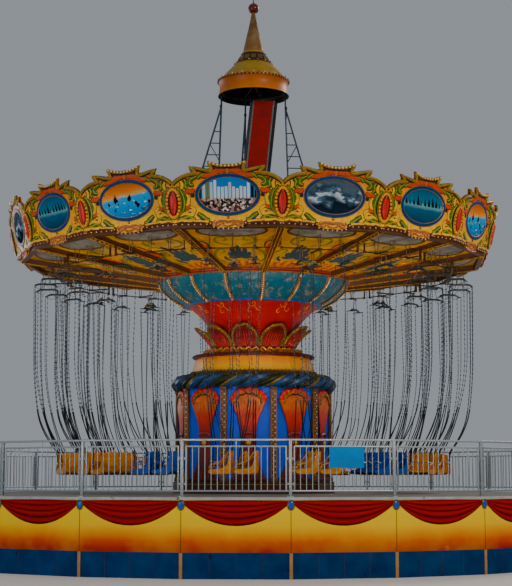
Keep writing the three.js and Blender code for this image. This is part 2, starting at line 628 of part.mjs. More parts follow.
// The swinging set of one bay: a shaft on two bearing blocks, three arms, and three chairs
function swingGroup(bay) {
  const pieces = [block([0, -PIVOT_RADIUS, PIVOT_HEIGHT], [2 * SHAFT_HALF_LENGTH, FRAME_BAR, FRAME_BAR])];
  const reachOut = OUTER_CHAIR_RADIUS + ROD_OFFSET + 20;
  const reachIn = INNER_CHAIR_RADIUS - ROD_OFFSET - 20;
  for (const side of [-1, 1]) {
    const length = reachOut - PIVOT_RADIUS;
    const middle = (reachOut + PIVOT_RADIUS) / 2;
    pieces.push(block([side * OUTER_CHAIR_OFFSET, -middle, PIVOT_HEIGHT], [FRAME_BAR, length, FRAME_BAR - 6]));
  }
  const inward = (reachIn + PIVOT_RADIUS) / 2;
  pieces.push(block([0, -inward, PIVOT_HEIGHT], [FRAME_BAR, PIVOT_RADIUS - reachIn, FRAME_BAR - 6]));
  const outerPull = OUTER_CHAIR_RADIUS - OUTER_SEAT_RADIUS;
  const sidePull = OUTER_CHAIR_OFFSET - OUTER_SEAT_OFFSET;
  const chairs = [
    { radius: OUTER_CHAIR_RADIUS, sideways: -OUTER_CHAIR_OFFSET, pull: [outerPull, -sidePull] },
    { radius: OUTER_CHAIR_RADIUS, sideways: OUTER_CHAIR_OFFSET, pull: [outerPull, sidePull] },
    { radius: INNER_CHAIR_RADIUS, sideways: 0, pull: [INNER_CHAIR_RADIUS - INNER_SEAT_RADIUS, 0] },
  ];
  for (const { radius, sideways, pull } of chairs) {
    pieces.push(chair(pull).rotate([0, 0, 90]).translate([sideways, -radius, PIVOT_HEIGHT]));
  }
  return join(pieces).rotate([0, 0, (FIRST_SWEEP + (bay + 0.5) * BAY_ANGLE) / DEG]);
}

const ride = new THREE.Group();
const add = (name, body, material) => ride.add(named(name, body, material));

add('deck', deck(), FINISH.deck);
add('wall', wall(), FINISH.wall);
for (let length = 0; length < DECK_SIDES / BAYS_PER_FENCE; length++) {
  add(`fence_${String(length + 1).padStart(2, '0')}`, fence(length), FINISH.steel);
}
add('hanging_board', hangingBoard(), FINISH.board);
add('plinth', plinth(), FINISH.maroon);
add('drum', drum(), FINISH.blue);
add('fans_and_pilasters', columnOrnament(), FINISH.orange);
add('valance', valance(), FINISH.valance);
add('upper_band', upperBand(), FINISH.yellow);
add('crown_plate', crownPlate(), FINISH.maroon);
add('leaf_crown', leafCrown(), FINISH.yellow);
add('mast', mast(), FINISH.mastRed);
add('left_mast_rail', nearRail(-1), FINISH.steel);
add('right_mast_rail', nearRail(1), FINISH.black);
add('carriage', carriage(), FINISH.steel);
add('tilt_ring', tiltRing(), FINISH.steel);
add('sweep_frame', sweepFrame(), FINISH.brown);
add('ceiling', ceiling(), FINISH.yellow);
add('roof', roof(), FINISH.roof);
QUARTERS.forEach((quarter, i) => add(`${quarter}_rounding_boards`, boardQuarter(i), FINISH.boards));
add('bowl', bowl(), FINISH.teal);
add('cone', cone(), FINISH.coneRed);
add('crown_frame', crownFrame(), FINISH.frame);
add('crown_skirt', crownSkirt(), FINISH.crown);
add('crown_roof', crownRoof(), FINISH.crown);
add('crown_spire', crownSpire(), FINISH.spire);
add('finial', finial(), FINISH.ball);
for (let bay = 0; bay < BAY_COUNT; bay++) {
  add(`swing_group_${String(bay + 1).padStart(2, '0')}`, swingGroup(bay), FINISH.chairs);
}

export default ride;
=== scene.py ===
import logging
import math
from dataclasses import dataclass, field
from enum import Enum
from typing import Callable, Iterable, Sequence

import bmesh
import bpy
from mathutils import Matrix, Vector


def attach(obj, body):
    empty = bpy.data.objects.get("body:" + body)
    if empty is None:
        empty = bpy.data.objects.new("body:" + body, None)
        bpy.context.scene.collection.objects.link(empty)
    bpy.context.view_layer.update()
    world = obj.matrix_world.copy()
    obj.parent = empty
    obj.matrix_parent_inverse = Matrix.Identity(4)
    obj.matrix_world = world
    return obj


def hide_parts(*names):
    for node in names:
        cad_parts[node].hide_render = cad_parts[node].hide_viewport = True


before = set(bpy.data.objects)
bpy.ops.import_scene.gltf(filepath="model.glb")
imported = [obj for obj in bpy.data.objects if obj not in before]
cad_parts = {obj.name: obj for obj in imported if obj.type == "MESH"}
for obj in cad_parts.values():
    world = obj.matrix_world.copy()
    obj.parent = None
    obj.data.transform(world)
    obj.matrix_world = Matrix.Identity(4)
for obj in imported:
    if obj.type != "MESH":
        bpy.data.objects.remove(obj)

LOG = logging.getLogger("swing_ride")
DEG = math.pi / 180
TURN = 2 * math.pi
Point = Sequence[float]
Mesh = bpy.types.Mesh
Socket = bpy.types.NodeSocket
Tree = bpy.types.NodeTree


# Places

def on_ring(radius: float, bearing: float, height: float = 0.0) -> Vector:
    """A point at a radius and bearing.

    Args:
        radius: distance from the ride's axis.
        bearing: angle from the front towards +X, in radians.
        height: distance above the ground.

    Returns:
        The point in metres.
    """
    return Vector((radius * math.sin(bearing), -radius * math.cos(bearing), height))


def turn(bearing: float) -> Matrix:
    """A turn about the ride's axis by a bearing in radians."""
    return Matrix.Rotation(bearing, 4, "Z")


def facing(bearing: float, distance: float, height: float = 0.0, lean: float = 0.0) -> Matrix:
    """Places a flat pattern on a face that looks outward.

    Args:
        bearing: where the face looks, in radians.
        distance: how far the face's foot is from the axis.
        height: height of the foot.
        lean: how far the face leans outward, in radians.

    Returns:
        A matrix that puts X sideways, Y up the face and Z out of it.
    """
    upright = Matrix.Rotation(math.pi / 2 + lean, 4, "X")
    return turn(bearing) @ Matrix.Translation((0, -distance, height)) @ upright


def around(count: int, start: float = 0.0, share: float = 0.0) -> list[float]:
    """Bearings spread evenly all round, the first of them a share of a step after the start."""
    return [start + TURN * (i + share) / count for i in range(count)]


def raised(points: Iterable[Point], height: float) -> list[Point]:
    """Flat points at a height over their board."""
    return [(x, y, height) for x, y in points]


def section(path: Iterable[Vector]) -> list[Point]:
    """The radius and height of the points of a path that runs out along +X."""
    return [(point.x, point.z) for point in path]


def oblong(inner: float, outer: float, low: float, high: float) -> list[Point]:
    """The section of a plain hoop, as radius and height."""
    return [(inner, low), (outer, low), (outer, high), (inner, high)]


# Meshes in the making

# A bar under these radii covers few pixels, so it gets four or five sides.
THIN_BAR = 0.016
SLIM_BAR = 0.03


class Work:
    """A mesh in the making, to which shapes are added with a finish number each."""

    def __init__(self) -> None:
        """Starts with nothing in the mesh."""
        self.bm = bmesh.new()

    def settle(self, verts: Iterable[bmesh.types.BMVert], finish: int, place: Matrix | None) -> None:
        """Gives the faces on these vertices their finish, and moves them to their place.

        Args:
            verts: the shape's vertices.
            finish: number of its finish in the piece.
            place: where it goes, or nothing where it stays.
        """
        verts = list(verts)
        for vert in verts:
            for face in vert.link_faces:
                face.material_index = finish
        if place is not None:
            bmesh.ops.transform(self.bm, matrix=place, verts=verts)

    def ball(self, centre: Point, radius: float, finish: int = 0, squash: Point = (1, 1, 1),
             fine: int = 1) -> None:
        """Adds a small ball.

        Args:
            centre: its middle.
            radius: its size.
            finish: number of its finish in the piece.
            squash: its stretch along X, Y and Z.
            fine: 1 for twenty faces, 2 for eighty.
        """
        place = Matrix.Translation(Vector(centre)) @ Matrix.Diagonal((*squash, 1))
        made = bmesh.ops.create_icosphere(self.bm, subdivisions=fine, radius=radius, matrix=place)
        self.settle(made["verts"], finish, None)

    def rod(self, start: Point, end: Point, radius: float, sides: int = 8, finish: int = 0,
            end_radius: float | None = None) -> None:
        """Adds a straight round bar, or a taper where the end has its own radius.

        Args:
            start: middle of its first end.
            end: middle of its other end.
            radius: its radius.
            sides: how many sides it has.
            finish: number of its finish in the piece.
            end_radius: radius of its other end, where that differs.
        """
        start, end = Vector(start), Vector(end)
        run = end - start
        place = Matrix.Translation((start + end) / 2) @ run.to_track_quat("Z", "Y").to_matrix().to_4x4()
        made = bmesh.ops.create_cone(
            self.bm, cap_ends=True, segments=sides, radius1=radius, depth=run.length, matrix=place,
            radius2=radius if end_radius is None else end_radius)
        self.settle(made["verts"], finish, None)

    def block(self, centre: Point, size: Point, finish: int = 0, place: Matrix | None = None,
              soft: float = 0.0) -> None:
        """Adds a block, with its edges rounded where soft is over 0.

        Args:
            centre: its middle.
            size: its size along X, Y and Z.
            finish: number of its finish in the piece.
            place: where it goes.
            soft: width of its rounded edges.
        """
        fit = Matrix.Translation(Vector(centre)) @ Matrix.Diagonal((*size, 1))
        verts = bmesh.ops.create_cube(self.bm, size=1, matrix=fit)["verts"]
        if soft:
            edges = {edge for vert in verts for edge in vert.link_edges}
            made = bmesh.ops.bevel(self.bm, geom=list(edges), offset=soft, segments=2, affect="EDGES",
                                   profile=0.5, material=-1)
            verts = {vert for face in made["faces"] for vert in face.verts}
        self.settle(verts, finish, place)

    def tube(self, path: Sequence[Point], radius: float | Sequence[float], sides: int = 6, finish: int = 0,
             flat: float = 1.0, up: Point = (0, 0, 1), closed: bool = False) -> None:
        """Adds a round or flattened bar along a path.

        Args:
            path: the points that it follows.
            radius: its radius, or one for each point.
            sides: how many sides it has at most, as a thin bar gets fewer.
            finish: number of its finish in the piece.
            flat: its thickness along up, as a share of its width.
            up: the direction that it is flattened along.
            closed: whether its end meets its start.
        """
        points = [Vector(point) for point in path]
        radii = [radius] * len(points) if isinstance(radius, (int, float)) else list(radius)
        sides = min(sides, 4 if max(radii) < THIN_BAR else 5 if max(radii) < SLIM_BAR else 7)
        count = len(points)
        frames = []
        for i, point in enumerate(points):
            ahead = points[(i + 1) % count] if closed or i < count - 1 else point
            behind = points[i - 1] if closed or i > 0 else point
            along = (ahead - behind).normalized()
            side = along.cross(Vector(up))
            side = side.normalized() if side.length > 1e-5 else along.orthogonal().normalized()
            over = side.cross(along)
            place = Matrix((side, over, along)).transposed().to_4x4()
            place.translation = point
            frames.append(place @ Matrix.Diagonal((radii[i], radii[i] * flat, radii[i], 1)))
        if closed:
            frames.append(frames[0])
        first = bmesh.ops.create_circle(self.bm, cap_ends=not closed, segments=sides, radius=1,
                                        matrix=frames[0])["verts"]
        edges = list({edge for vert in first for edge in vert.link_edges})
        every = list(first)
        for before, after in zip(frames, frames[1:]):
            made = bmesh.ops.extrude_edge_only(self.bm, edges=edges)["geom"]
            fresh = [part for part in made if isinstance(part, bmesh.types.BMVert)]
            edges = [part for part in made if isinstance(part, bmesh.types.BMEdge)
                     and part.verts[0] in set(fresh) and part.verts[1] in set(fresh)]
            bmesh.ops.transform(self.bm, matrix=after @ before.inverted(), verts=fresh)
            every += fresh
        if closed:
            bmesh.ops.remove_doubles(self.bm, verts=every, dist=1e-5)
            every = [vert for vert in every if vert.is_valid]
        else:
            bmesh.ops.edgeloop_fill(self.bm, edges=edges)
        self.settle(every, finish, None)

    def lathe(self, profile: Sequence[Point], steps: int = 96, finish: int = 0, start: float = 0.0,
              place: Matrix | None = None) -> None:
        """Adds a body turned about the ride's axis.

        Args:
            profile: points of radius and height, closed by itself where it starts and ends off the axis.
            steps: how many sides it has.
            finish: number of its finish in the piece.
            start: bearing of its first corner, in radians.
            place: where it goes.
        """
        verts = [self.bm.verts.new(on_ring(radius, start, height)) for radius, height in profile]
        pairs = list(zip(verts, verts[1:]))
        if profile[0][0] > 1e-6 or profile[-1][0] > 1e-6:
            pairs.append((verts[-1], verts[0]))
        edges = [self.bm.edges.new(pair) for pair in pairs]
        before = set(self.bm.faces)
        bmesh.ops.spin(self.bm, geom=verts + edges, cent=(0, 0, 0), axis=(0, 0, 1), dvec=(0, 0, 0),
                       angle=TURN, steps=steps, use_merge=True, use_duplicate=False)
        faces = [face for face in self.bm.faces if face not in before]
        fresh = list({vert for face in faces for vert in face.verts})
        bmesh.ops.remove_doubles(self.bm, verts=fresh, dist=1e-5)
        faces = [face for face in faces if face.is_valid]
        bmesh.ops.recalc_face_normals(self.bm, faces=faces)
        self.settle({vert for face in faces for vert in face.verts}, finish, place)

    def plate(self, outline: Sequence[Point], thickness: float, finish: int = 0, base: float = 0.0,
              place: Matrix | None = None, soft: float = 0.0) -> None:
        """Adds a flat plate cut to an outline in X and Y, rising from base along Z.

        Args:
            outline: its corners in X and Y.
            thickness: its thickness.
            finish: number of its finish in the piece.
            base: height of its underside.
            place: where it goes.
            soft: width of its rounded upper edge.
        """
        verts = [self.bm.verts.new((x, y, base)) for x, y in outline]
        face = self.bm.faces.new(verts)
        if face.normal.z > 0 or self._area(outline) > 0:
            face.normal_flip()
        made = bmesh.ops.extrude_face_region(self.bm, geom=[face])["geom"]
        top = [part for part in made if isinstance(part, bmesh.types.BMVert)]
        bmesh.ops.translate(self.bm, verts=top, vec=(0, 0, thickness))
        every = {vert for vert in verts + top if vert.is_valid}
        faces = list({near for vert in every for near in vert.link_faces})
        bmesh.ops.recalc_face_normals(self.bm, faces=faces)
        if soft:
            rim = [edge for edge in {edge for vert in top for edge in vert.link_edges}
                   if all(abs(vert.co.z - base - thickness) < 1e-6 for vert in edge.verts)]
            made = bmesh.ops.bevel(self.bm, geom=rim, offset=soft, segments=2, affect="EDGES", profile=0.5,
                                   material=-1)
            every = {vert for vert in every if vert.is_valid} | {
                vert for near in made["faces"] for vert in near.verts}
        self.settle(every, finish, place)

    @staticmethod
    def _area(outline: Sequence[Point]) -> float:
        """Signed area of an outline, over 0 where it runs anticlockwise."""
        return sum(a[0] * b[1] - b[0] * a[1] for a, b in zip(outline, [*outline[1:], outline[0]])) / 2

    def sheet(self, across: int, along: int, shape: Callable[[float, float], Point], finish: int = 0,
              place: Matrix | None = None, thick: float = 0.0) -> None:
        """Adds a curved sheet whose points are worked out from shares across and along it, which map it too.

        Args:
            across: how many faces it has across.
            along: how many faces it has along.
            shape: gives a point for two shares from 0 to 1.
            finish: number of its finish in the piece.
            place: where it goes.
            thick: thickness that it gets behind its face.
        """
        before = set(self.bm.faces)
        verts = bmesh.ops.create_grid(self.bm, x_segments=across, y_segments=along, size=0.5)["verts"]
        layer = self.bm.loops.layers.uv.verify()
        faces = [face for face in self.bm.faces if face not in before]
        for face in faces:
            for loop in face.loops:
                loop[layer].uv = (loop.vert.co.x + 0.5, loop.vert.co.y + 0.5)
        for vert in verts:
            vert.co = Vector(shape(vert.co.x + 0.5, vert.co.y + 0.5))
        if thick:
            made = bmesh.ops.solidify(self.bm, geom=faces, thickness=thick)["geom"]
            verts = {
                vert for face in [*faces, *made] if isinstance(face, bmesh.types.BMFace)
                for vert in face.verts}
        self.settle(verts, finish, place)

    def flatten_map(self, middle: Callable[[bmesh.types.BMFace], Point]) -> None:
        """Maps every face by its own X and Y in metres from a middle, for patterns on a flat board.

        Args:
            middle: gives the middle that a face is mapped from.
        """
        layer = self.bm.loops.layers.uv.verify()
        for face in self.bm.faces:
            start = Vector(middle(face))
            for loop in face.loops:
                loop[layer].uv = loop.vert.co.xy - start

    def stamp(self, pattern: Mesh, places: Iterable[Matrix]) -> None:
        """Adds a copy of a finished pattern at each place.

        Args:
            pattern: the finished pattern.
            places: where the copies go.
        """
        for place in places:
            copy = pattern.copy()
            copy.transform(place)
            self.bm.from_mesh(copy)
            bpy.data.meshes.remove(copy)

    def mirror(self) -> None:
        """Adds the mirror image of everything, across X."""
        made = bmesh.ops.duplicate(self.bm, geom=[*self.bm.verts, *self.bm.edges, *self.bm.faces])["geom"]
        verts = [part for part in made if isinstance(part, bmesh.types.BMVert)]
        bmesh.ops.scale(self.bm, verts=verts, vec=(-1, 1, 1))
        bmesh.ops.reverse_faces(
            self.bm, faces=[part for part in made if isinstance(part, bmesh.types.BMFace)])

    def pattern(self, name: str) -> Mesh:
        """Ends the work as a mesh that is stamped elsewhere.

        Args:
            name: the mesh's name.

        Returns:
            The mesh.
        """
        mesh = bpy.data.meshes.new(name)
        self.bm.to_mesh(mesh)
        self.bm.free()
        return mesh

    def piece(self, name: str, body: str, finishes: Sequence["Finish"], replaces: Sequence[str] = (),
              crease: float = 38.0) -> bpy.types.Object:
        """Ends the work as a piece of the ride.

        Args:
            name: the piece's name.
            body: the moving body that it rides on.
            finishes: the finishes that its finish numbers mean.
            replaces: solids that it stands for.
            crease: edges sharper than this many degrees stay sharp.

        Returns:
            The piece.
        """
        mesh = self.pattern(name)
        mesh.shade_smooth()
        mesh.set_sharp_from_angle(angle=crease * DEG)
        for finish in finishes:
            mesh.materials.append(finish.material())
        made = bpy.data.objects.new(name, mesh)
        bpy.context.scene.collection.objects.link(made)
        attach(made, body)
        if replaces:
            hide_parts(*replaces)
        mesh.calc_loop_triangles()
        LOG.info("%s: %d triangles", name, len(mesh.loop_triangles))
        return made


# How finishes are made

def linear(code: str) -> tuple[float, float, float, float]:
    """Turns an sRGB hex colour into linear values.

    Args:
        code: the colour, such as "#1687b0".

    Returns:
        Red, green, blue and an alpha of 1.
    """
    shares = [int(code[i:i + 2], 16) / 255 for i in (1, 3, 5)]
    straight = [share / 12.92 if share <= 0.04045 else ((share + 0.055) / 1.055) ** 2.4 for share in shares]
    return (*straight, 1.0)


def add_node(tree: Tree, kind: str, inputs: dict | None = None, **settings) -> bpy.types.Node:
    """Adds a node with its settings and links.

    Args:
        tree: the material's nodes.
        kind: the node's type, without the word ShaderNode.
        inputs: a value, or another node's output, for each input.
        settings: the node's own properties.

    Returns:
        The node.
    """
    node = tree.nodes.new(f"ShaderNode{kind}")
    for key, value in settings.items():
        setattr(node, key, value)
    for key, value in (inputs or {}).items():
        if isinstance(value, Socket):
            tree.links.new(value, node.inputs[key])
        else:
            node.inputs[key].default_value = value
    return node


def ramp(tree: Tree, value: Socket, low: float, high: float, stops: Sequence[tuple[float, str]],
         hard: bool = False) -> Socket:
    """Colours a value by stops between low and high.

    Args:
        tree: the material's nodes.
        value: what is coloured.
        low: the value of the first place, 0.
        high: the value of the last place, 1.
        stops: places from 0 to 1 and their colours.
        hard: whether the colours meet in clean edges.

    Returns:
        The colour output.
    """
    run = add_node(tree, "MapRange", {"Value": value, "From Min": low, "From Max": high})
    node = add_node(tree, "ValToRGB", {"Fac": run.outputs["Result"]})
    node.color_ramp.interpolation = "CONSTANT" if hard else "LINEAR"
    for i, (at, code) in enumerate(stops):
        point = node.color_ramp.elements[i] if i < 2 else node.color_ramp.elements.new(at)
        point.position = at
        point.color = linear(code)
    return node.outputs["Color"]


class Along(Enum):
    """What a painted fade runs along."""

    HEIGHT = "Z"
    MAP_Y = "map"


@dataclass(frozen=True)
class Finish:
    """Paint, plastic or metal: one or two tones in soft patches, a fine grain, and worn spots.

    Attributes:
        name: what it is, in a maker's words.
        tone: its main colour.
        second: the colour of its patches.
        patch: size of a patch in millimetres.
        mix: how much the patches show.
        grain: size of the surface's grain in millimetres.
        bump: depth of the grain in millimetres.
        roughness: how matt it is.
        metallic: 1 for bare metal.
        coat: clear gloss over it.
        wear: colour of worn spots, or nothing.
        worn: share of the surface that is worn.
        fade: stops of place and colour for a painted fade.
        along: what the fade runs along.
        wave: how much the fade's edges waver, in metres.
        shine: strength of its plain reflection.
    """

    name: str
    tone: str
    second: str
    patch: float = 60
    mix: float = 0.5
    grain: float = 6
    bump: float = 0.4
    roughness: float = 0.5
    metallic: float = 0.0
    coat: float = 0.0
    wear: str | None = None
    worn: float = 0.0
    fade: tuple[tuple[float, str], ...] = ()
    along: Along = Along.HEIGHT
    wave: float = 0.0
    shine: float = 0.3

    def material(self) -> bpy.types.Material:
        """Makes the finish as a material, once.

        Returns:
            The material.
        """
        known = bpy.data.materials.get(self.name)
        if known:
            return known
        made = bpy.data.materials.new(self.name)
        made.use_nodes = True
        tree = made.node_tree
        shader = tree.nodes["Principled BSDF"]
        shader.inputs["Metallic"].default_value = self.metallic
        shader.inputs["Specular IOR Level"].default_value = self.shine
        shader.inputs["Coat Weight"].default_value = self.coat
        shader.inputs["Coat Roughness"].default_value = 0.16
        where = add_node(tree, "TexCoord")
        place = where.outputs["Object"]
        colour = self.colours(tree, where)
        if self.wear and self.worn:
            spots = add_node(tree, "TexNoise", {
                "Vector": place, "Scale": 1400 / self.patch, "Detail": 6.0, "Roughness": 0.7})
            cut = add_node(tree, "MapRange", {
                "Value": spots.outputs["Fac"], "From Min": 0.72 - 0.3 * self.worn,
                "From Max": 0.76 - 0.3 * self.worn})
            colour = add_node(tree, "Mix", {
                "Factor": cut.outputs["Result"], "A": colour,
                "B": linear(self.wear)}, data_type="RGBA").outputs["Result"]
        tree.links.new(colour, shader.inputs["Base Color"])
        fine = add_node(tree, "TexNoise", {"Vector": place, "Scale": 1000 / self.grain, "Detail": 3.0})
        sheen = add_node(tree, "MapRange", {
            "Value": fine.outputs["Fac"], "To Min": max(0.04, self.roughness - 0.08),
            "To Max": min(1.0, self.roughness + 0.1)})
        tree.links.new(sheen.outputs["Result"], shader.inputs["Roughness"])
        bump = add_node(tree, "Bump", {
            "Height": fine.outputs["Fac"], "Distance": self.bump / 1000, "Strength": 0.5})
        tree.links.new(bump.outputs["Normal"], shader.inputs["Normal"])
        return made

    def colours(self, tree: Tree, where: bpy.types.Node) -> Socket:
        """Mixes the finish's colours.

        Args:
            tree: the material's nodes.
            where: the coordinates.

        Returns:
            The colour output.
        """
        place = where.outputs["Object"]
        soft = add_node(
            tree, "TexNoise", {"Vector": place, "Scale": 1000 / self.patch, "Detail": 4.0, "Roughness": 0.6})
        share = add_node(tree, "MapRange", {
            "Value": soft.outputs["Fac"], "From Min": 0.38, "From Max": 0.66, "To Max": self.mix})
        colour = self.faded(tree, where, soft.outputs["Fac"]) if self.fade else linear(self.tone)
        return add_node(
            tree, "Mix", {"Factor": share.outputs["Result"], "A": colour, "B": linear(self.second)},
            data_type="RGBA").outputs["Result"]

    def faded(self, tree: Tree, where: bpy.types.Node, soft: Socket) -> Socket:
        """Paints the fade.

        Args:
            tree: the material's nodes.
            where: the coordinates.
            soft: soft noise that makes the fade's edges waver.

        Returns:
            The colour output.
        """
        mapped = self.along is Along.MAP_Y
        axes = add_node(tree, "SeparateXYZ", {"Vector": where.outputs["UV" if mapped else "Object"]})
        line = axes.outputs["Y" if mapped else "Z"]
        if self.wave:
            shift = add_node(tree, "MapRange", {"Value": soft, "To Min": -self.wave, "To Max": self.wave})
            shifted = {0: line, 1: shift.outputs["Result"]}
            line = add_node(tree, "Math", shifted, operation="ADD").outputs["Value"]
        low, high = self.fade[0][0], self.fade[-1][0]
        return ramp(tree, line, low, high, [((stop - low) / (high - low), code) for stop, code in self.fade])


# Finishes of the ride. The brush marks of real paint are 1 to 2 mm wide. They are drawn at 6 mm, or 3 mm on
# gilt and steel, so that they show at all on a ride of this size. A patch is as wide as on the real ride:
# 60 mm where a brush was lifted, 90 to 260 mm on a panel, over 400 mm where rain or sun worked on it.

# Matt studio paint: a calm pale ground that takes soft shadows.
PALE_FLOOR = Finish("pale_studio_floor", "#d8d6d2", "#cfcdc9", patch=3000, grain=40, bump=0.5, roughness=0.75)
# Floor paint under many feet: flat grey with darker trodden spots.
DECK_PLATE = Finish("worn_grey_deck_paint", "#7d7a74", "#5f5c56", patch=500, roughness=0.75, wear="#4c4a45",
                    worn=0.25)
# Weathered paint on steel: a pale line round the deck with brownish chips.
EDGE_BAND = Finish("pale_grey_edge_paint", "#a9adad", "#7f8382", patch=260, wear="#5d5448", worn=0.3)
# Sprayed panels: a warm fade from a red foot to a yellow head, its bands a little uneven.
SKIRT = Finish(
    "sunset_skirt_paint", "#f4c800", "#f4d000", patch=1500, mix=0.25, wear="#c86a02", worn=0.06,
    fade=((0.46, "#981600"), (0.54, "#b02400"), (0.66, "#cc4800"), (0.8, "#e48c00"), (0.95, "#f0bc00"),
          (1.44, "#f8d400")), wave=0.05, shine=0.05)
# Brushed dado paint: a deep matt band that grounds the warm skirt.
SKIRT_BASE = Finish("navy_base_paint", "#012a58", "#023e6c", patch=420, mix=0.8, roughness=0.6,
                    wear="#081a2c", worn=0.25, shine=0.05)
# Airbrushed folds: red drapes that turn dark in their creases.
SWAG = Finish(
    "red_swag_paint", "#a00402", "#8a0302", patch=500, mix=0.35,
    fade=((0.0, "#120101"), (0.05, "#3c0202"), (0.13, "#b00400"), (0.22, "#8c0200"), (0.29, "#200101"),
          (0.36, "#980200"), (0.46, "#b00400"), (0.54, "#240101"), (0.61, "#a80400"), (0.71, "#980200"),
          (0.77, "#2c0101"), (0.84, "#b00400"), (1.0, "#880200")), along=Along.MAP_Y, wave=0.035, shine=0.05)
# Glazed boss: a deep blue that glints.
JEWEL = Finish("blue_jewel_glaze", "#0540c0", "#043090", roughness=0.2, coat=0.4)
# Aged gilt over green: a dull ring that sets the jewel off.
JEWEL_RIM = Finish("green_gold_rim_paint", "#3a4a10", "#806010", roughness=0.4, coat=0.1)
# Oiled softwood: tan uprights with a broad soft grain.
BATTEN = Finish("tan_batten_wood", "#a87c48", "#805a30", patch=120, roughness=0.6)
# Joint filler: thin dark lines without any shine.
SEAM = Finish("dark_seam_filler", "#4a2c06", "#2e1c05", patch=80, roughness=0.7)
# Hot-dip zinc: pale spangled grey. The spangle of 5 mm is drawn at 18 mm so that it shows.
STEEL = Finish("galvanised_steel", "#9aa2a6", "#70777b", patch=18, mix=0.6, grain=3, roughness=0.42,
               metallic=0.6, wear="#7a6a58", worn=0.15)
# Roller paint on plywood: one flat teal, streaked where rain ran down.
BOARD_BLUE = Finish("teal_board_paint", "#0070b4", "#005890", patch=300, wear="#0a4460", worn=0.15, shine=0.1)
# Old enamel: a dark red that goes black where shoes rub.
PLINTH_RED = Finish("dark_red_plinth_paint", "#4a0a06", "#2c0604", patch=350, roughness=0.45, coat=0.05,
                    wear="#1c0604", worn=0.25)
# Lining paint: a quiet olive thread.
OLIVE = Finish("olive_line_paint", "#6e6414", "#544a10", patch=120, roughness=0.45)
# Enamel on plywood: strong cobalt with pale rubbed clouds.
DRUM_BLUE = Finish("cobalt_drum_paint", "#0450e0", "#0344c0", patch=600, roughness=0.4, coat=0.03,
                   wear="#4a7a90", worn=0.34)
# Lining paint: a thin rose thread beside the gilt.
ROSE_LINE = Finish("rose_line_paint", "#c06858", "#8c4438", roughness=0.45)
# Bronze paint over dark brown: posts that stay behind their lamps.
POST_BROWN = Finish("brown_gilt_post_paint", "#6a4418", "#3c260e", patch=90, roughness=0.45, coat=0.05)
# Coloured cap of a small lamp, unlit: a cream bead with one bright glint.
LAMP_CREAM = Finish("cream_lamp_glass", "#e8cc98", "#c89a58", patch=40, roughness=0.25, coat=0.4)
# The same cap in amber: warm dots.
LAMP_ORANGE = Finish("orange_lamp_glass", "#e08408", "#b85a06", patch=40, roughness=0.25, coat=0.4)
# The same cap in rose: paler dots between the amber ones.
LAMP_PINK = Finish("pink_lamp_glass", "#e0a488", "#b06a50", patch=40, roughness=0.25, coat=0.4)
# The same cap in red: the dark dots of the row.
LAMP_RED = Finish("red_lamp_glass", "#c81404", "#900804", patch=40, roughness=0.25, coat=0.4)
# Sprayed glass fibre: flutes that fade from dark red stems to orange tips.
FAN = Finish(
    "fan_fade_paint", "#e06a02", "#8a2402", patch=140, roughness=0.38, coat=0.1,
    fade=((1.72, "#3c0503"), (2.5, "#6a0a05"), (2.62, "#7e0e08"), (2.8, "#760703"), (2.86, "#a00c03"),
          (3.05, "#cc1c02"), (3.24, "#d83402"), (3.34, "#d85c02"), (3.52, "#d86a02"), (3.85, "#c04602")),
    wave=0.05)
# Gloss paint: red knobs that end each flute.
FAN_CAP = Finish("red_orange_cap_paint", "#d02402", "#a01602", patch=90, roughness=0.36, coat=0.1)
# Satin paint: a rose collar that ties the flutes together.
FAN_PINK = Finish("rose_collar_paint", "#a83a44", "#84242c", patch=70, roughness=0.4, coat=0.05)
# Bronze powder in lacquer: dull gold with brown in its hollows, brighter on its edges.
GILT = Finish("gilt_trim_paint", "#b8842a", "#745010", patch=50, mix=0.6, grain=3, bump=0.6, roughness=0.38,
              metallic=0.2, coat=0.05)
# Gloss paint: one clear yellow point in each fan.
FAN_BALL = Finish("yellow_ball_paint", "#dca604", "#b07a04", roughness=0.3, coat=0.3)
# Brushed relief paint: blue strands with black in their laps.
ROPE_BLUE = Finish("blue_garland_paint", "#07427a", "#042648", mix=0.8, roughness=0.45, coat=0.05,
                   wear="#14100c", worn=0.35)
# Brushed relief paint: the shadow strands of the garland.
ROPE_DARK = Finish("dark_garland_paint", "#12160e", "#24200f", mix=0.8)
# Aged bronze paint: broken gold strands.
ROPE_GOLD = Finish("gold_garland_paint", "#8a6a14", "#3c2c0a", patch=50, mix=0.8, roughness=0.45)
# Near-black paint: painted shade on the garland's hood and on some of its leaves, a top that no light
# reaches.
HOOD = Finish("hood_painted_shade", "#262a24", "#4a4020", mix=0.8, roughness=0.55)
# Sprayed enamel: yellow that warms to orange at its foot and head.
BAND = Finish(
    "band_fade_paint", "#e08400", "#c46a02", patch=500, mix=0.3, roughness=0.42, coat=0.02,
    fade=((4.22, "#a87c02"), (4.3, "#cc9a02"), (4.38, "#d89e02"), (4.45, "#e08a02"), (4.58, "#d87402")),
    wave=0.02, shine=0.2)
# Satin enamel: a dark red shelf under the leaves.
PLATE_RED = Finish("dark_red_plate_paint", "#580a06", "#340504", patch=90)
# Sprayed glass fibre: rose tips that sink to dark red in the throat.
LEAF_RED = Finish(
    "leaf_inside_red_paint", "#6a1008", "#8e2424", patch=120, roughness=0.45, coat=0.05,
    fade=((4.66, "#8e3030"), (4.88, "#963434"), (5.0, "#6e140e"), (5.28, "#4c0c06")), wave=0.03)
# Aged bronze paint: broken gold on the leaves' rolled edges.
LEAF_GOLD = Finish("leaf_edge_gold_paint", "#8e6c14", "#4c380a", patch=50, mix=0.7, roughness=0.42,
                   metallic=0.1, coat=0.05)
